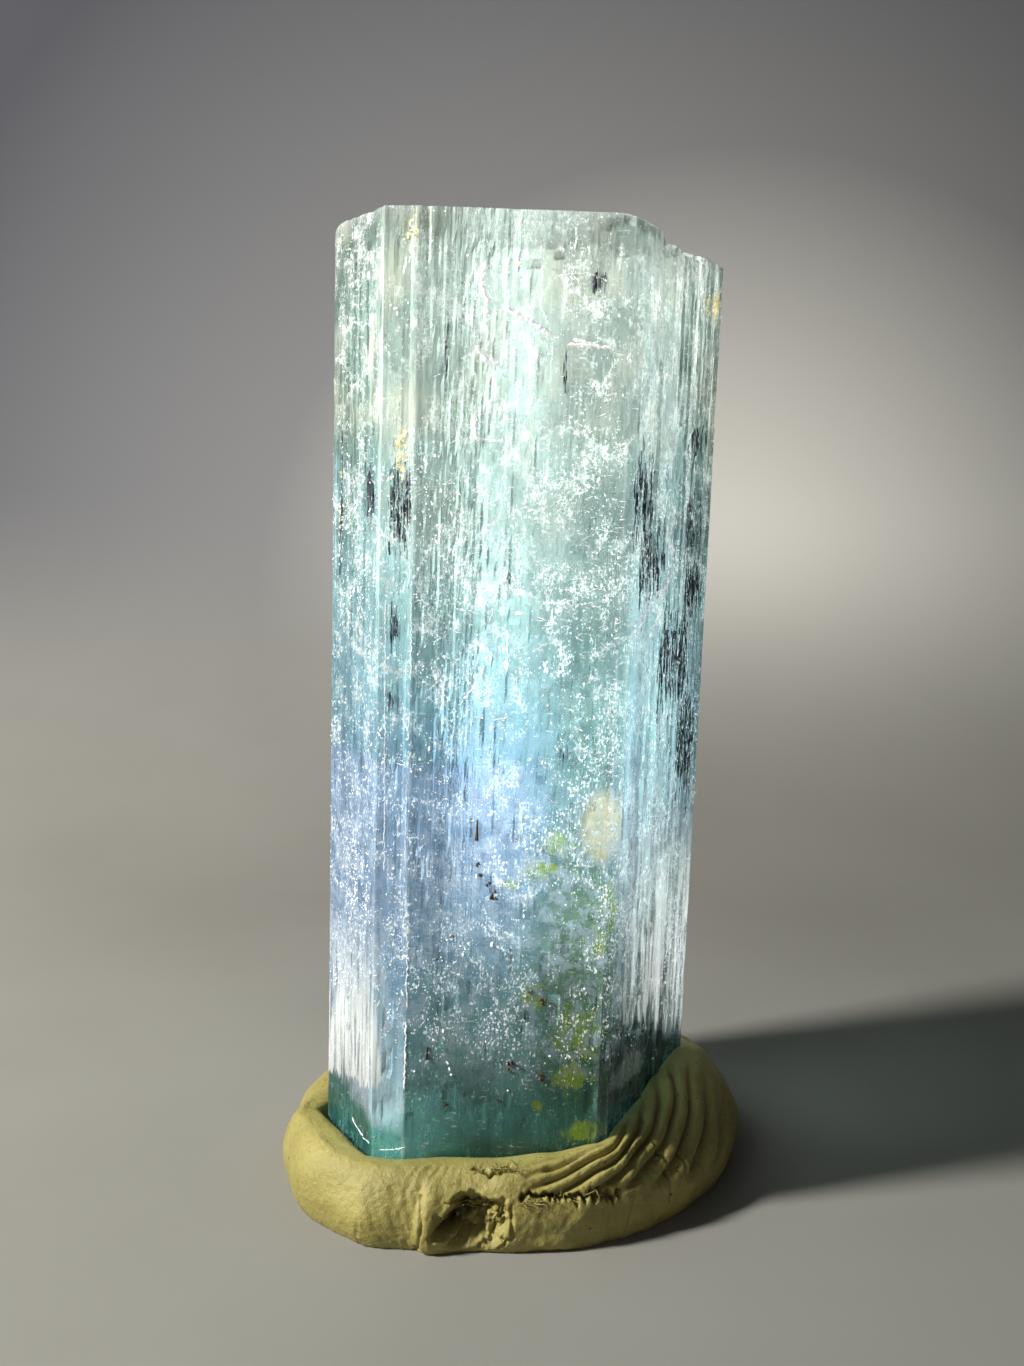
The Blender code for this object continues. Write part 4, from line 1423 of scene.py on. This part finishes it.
def floor_material():
    """A pale floor; the backdrop has a painted halo of light, palest behind the specimen and darkening
    softly outwards.
    """
    floor = Finish("Floor", Roughness=0.6, Specular_IOR_Level=0.0)
    grain = floor.noise(floor.place, (0.05, 0.05, 0.05), 3.0)
    pale = floor.ramp(grain, (0.3, (0.27, 0.265, 0.24, 1)), (0.7, (0.30, 0.295, 0.27, 1)))
    # Painted pool of light on the backdrop, brightest behind the specimen.
    painted_halo = floor.ramp(
        floor.away(floor.place, (26, 98, 20), (62, 110, 56)),
        (0.1, (0.86, 0.85, 0.79, 1)),
        (0.9, (0.25, 0.25, 0.26, 1)),
        (1.7, (0.09, 0.09, 0.105, 1)),
    )
    floor.finish(Base_Color=floor.mix(floor.between(floor.z, 0.0, 30.0), pale, painted_halo))
    return floor.material


# ---- camera, lights and floor ------------------------------------------------------------------

# Where the camera stands, how many degrees it looks down and is rolled, and its lens.
CAMERA_PLACE = Vector((-0.9, -55.0, 30.8))
CAMERA_DIP, CAMERA_ROLL = 9.1, 1.8
LENS, SENSOR = 32.94, 36

# The floor runs from its front edge to the start of its bend, which sweeps up into the backdrop.
FLOOR_FRONT, FLOOR_HALF_WIDTH, BACKDROP_TOP = -400, 500, 400
SWEEP_START, SWEEP, SWEEP_STEPS = 34, 64, 24


def add_camera():
    data = bpy.data.cameras.new("Camera")
    data.lens = LENS
    data.sensor_width = SENSOR
    data.clip_start = 0.005
    data.clip_end = 10
    camera = bpy.data.objects.new("Camera", data)
    bpy.context.scene.collection.objects.link(camera)
    camera.location = CAMERA_PLACE * MM + PLACE
    turn = Matrix.Rotation(math.radians(90 - CAMERA_DIP), 4, "X")
    turn @= Matrix.Rotation(math.radians(CAMERA_ROLL), 4, "Z")
    camera.rotation_euler = turn.to_euler()
    bpy.context.scene.camera = camera


def add_light(name, place, target, size, power, tone=(1, 1, 1), seen=True):
    data = bpy.data.lights.new(name, "AREA")
    data.shape = "DISK"
    data.size = size * MM
    data.energy = power
    data.color = tone
    light = bpy.data.objects.new(name, data)
    bpy.context.scene.collection.objects.link(light)
    light.location = Vector(place) * MM
    light.rotation_euler = (Vector(target) - Vector(place)).to_track_quat("-Z", "Y").to_euler()
    light.visible_camera = seen
    return light


def add_stage():
    """A pale floor that sweeps up into a backdrop."""
    bm = bmesh.new()
    bend = [math.pi / 2 * i / SWEEP_STEPS for i in range(SWEEP_STEPS + 1)]
    profile = [(FLOOR_FRONT, 0)]
    profile += [(SWEEP_START + SWEEP * math.sin(a), SWEEP - SWEEP * math.cos(a)) for a in bend]
    profile += [(SWEEP_START + SWEEP, BACKDROP_TOP)]
    verts = [bm.verts.new((-FLOOR_HALF_WIDTH, y, z)) for y, z in profile]
    edges = [bm.edges.new(pair) for pair in zip(verts, verts[1:])]
    bmesh.ops.translate(bm, vec=(2 * FLOOR_HALF_WIDTH, 0, 0), verts=grow(bm, edges)[0])
    bm.transform(Matrix.Scale(MM, 4))
    floor = object_of(bm, "Floor", floor_material(), smooth_shaded=True)


def add_lights():
    world = bpy.data.worlds.new("World")
    bpy.context.scene.world = world
    world.use_nodes = True
    world.node_tree.nodes["Background"].inputs[0].default_value = (0.92, 0.95, 1.0, 1)
    world.node_tree.nodes["Background"].inputs[1].default_value = 0.05
    behind = (
        add_light("Back_glow", (-7, 46, 27), (0, 0, 20), 70, 0.052, seen=False),
        add_light("Back_low", (-3, 30, 3), (0, -8, 12), 34, 0.0066, seen=False),
        add_light("Back_left", (-60, 50, 60), (0, 0, 18), 40, 0.026, seen=False),
        add_light("Back_right", (62, 55, 50), (0, 0, 14), 40, 0.052, (1.0, 0.98, 0.94), seen=False),
    )
    for light in behind:
        light.visible_diffuse = False
        light.visible_glossy = False
    add_light("Key", (-150, -50, 112), (0, 0, 12), 24, 0.60, (1.0, 0.98, 0.92))
    add_light("Fill", (-90, -175, 22), (0, 0, 10), 110, 0.030)


# ---- everything together -----------------------------------------------------------------------

sides = make_sides()
make_shell(sides, stone_material())
# White flakes and the plate edges share this finish, whose glow is painted light.
white = flake_material(
    "White flake",
    (0.34, colour(226, 226, 255)),
    (0.45, (1, 1, 1, 1)),
    (0.6, (1, 1, 1, 1)),
    (0.7, colour(255, 248, 206)),
)
# Golden flakes are painted yellowish glints, glowing though no lamp lights them.
golden = flake_material("Golden flake", (0.35, colour(255, 250, 226)), (0.65, colour(255, 228, 120)))
glint_places = spread_flakes(sides) + crowd_flakes(GLINT_CROWDS, GLINTS_CROWDED)
golden_places = crowd_flakes(GOLDEN_CROWDS, GOLDEN_CROWDED)
make_flakes("glint_flakes", sides, glint_places, LARGEST_GLINT, white)
make_flakes("golden_flakes", sides, golden_places, LARGEST_GOLDEN, golden)
make_veils(sides, veil_material())
make_plate_edges(sides, white)
make_tubes(sides, tube_material())
make_minerals(sides, mineral_material())
putty = putty_material()
make_putty(putty)
make_fibres(putty)
add_camera()
add_stage()
add_lights()
bpy.context.scene.view_settings.view_transform = "Standard"
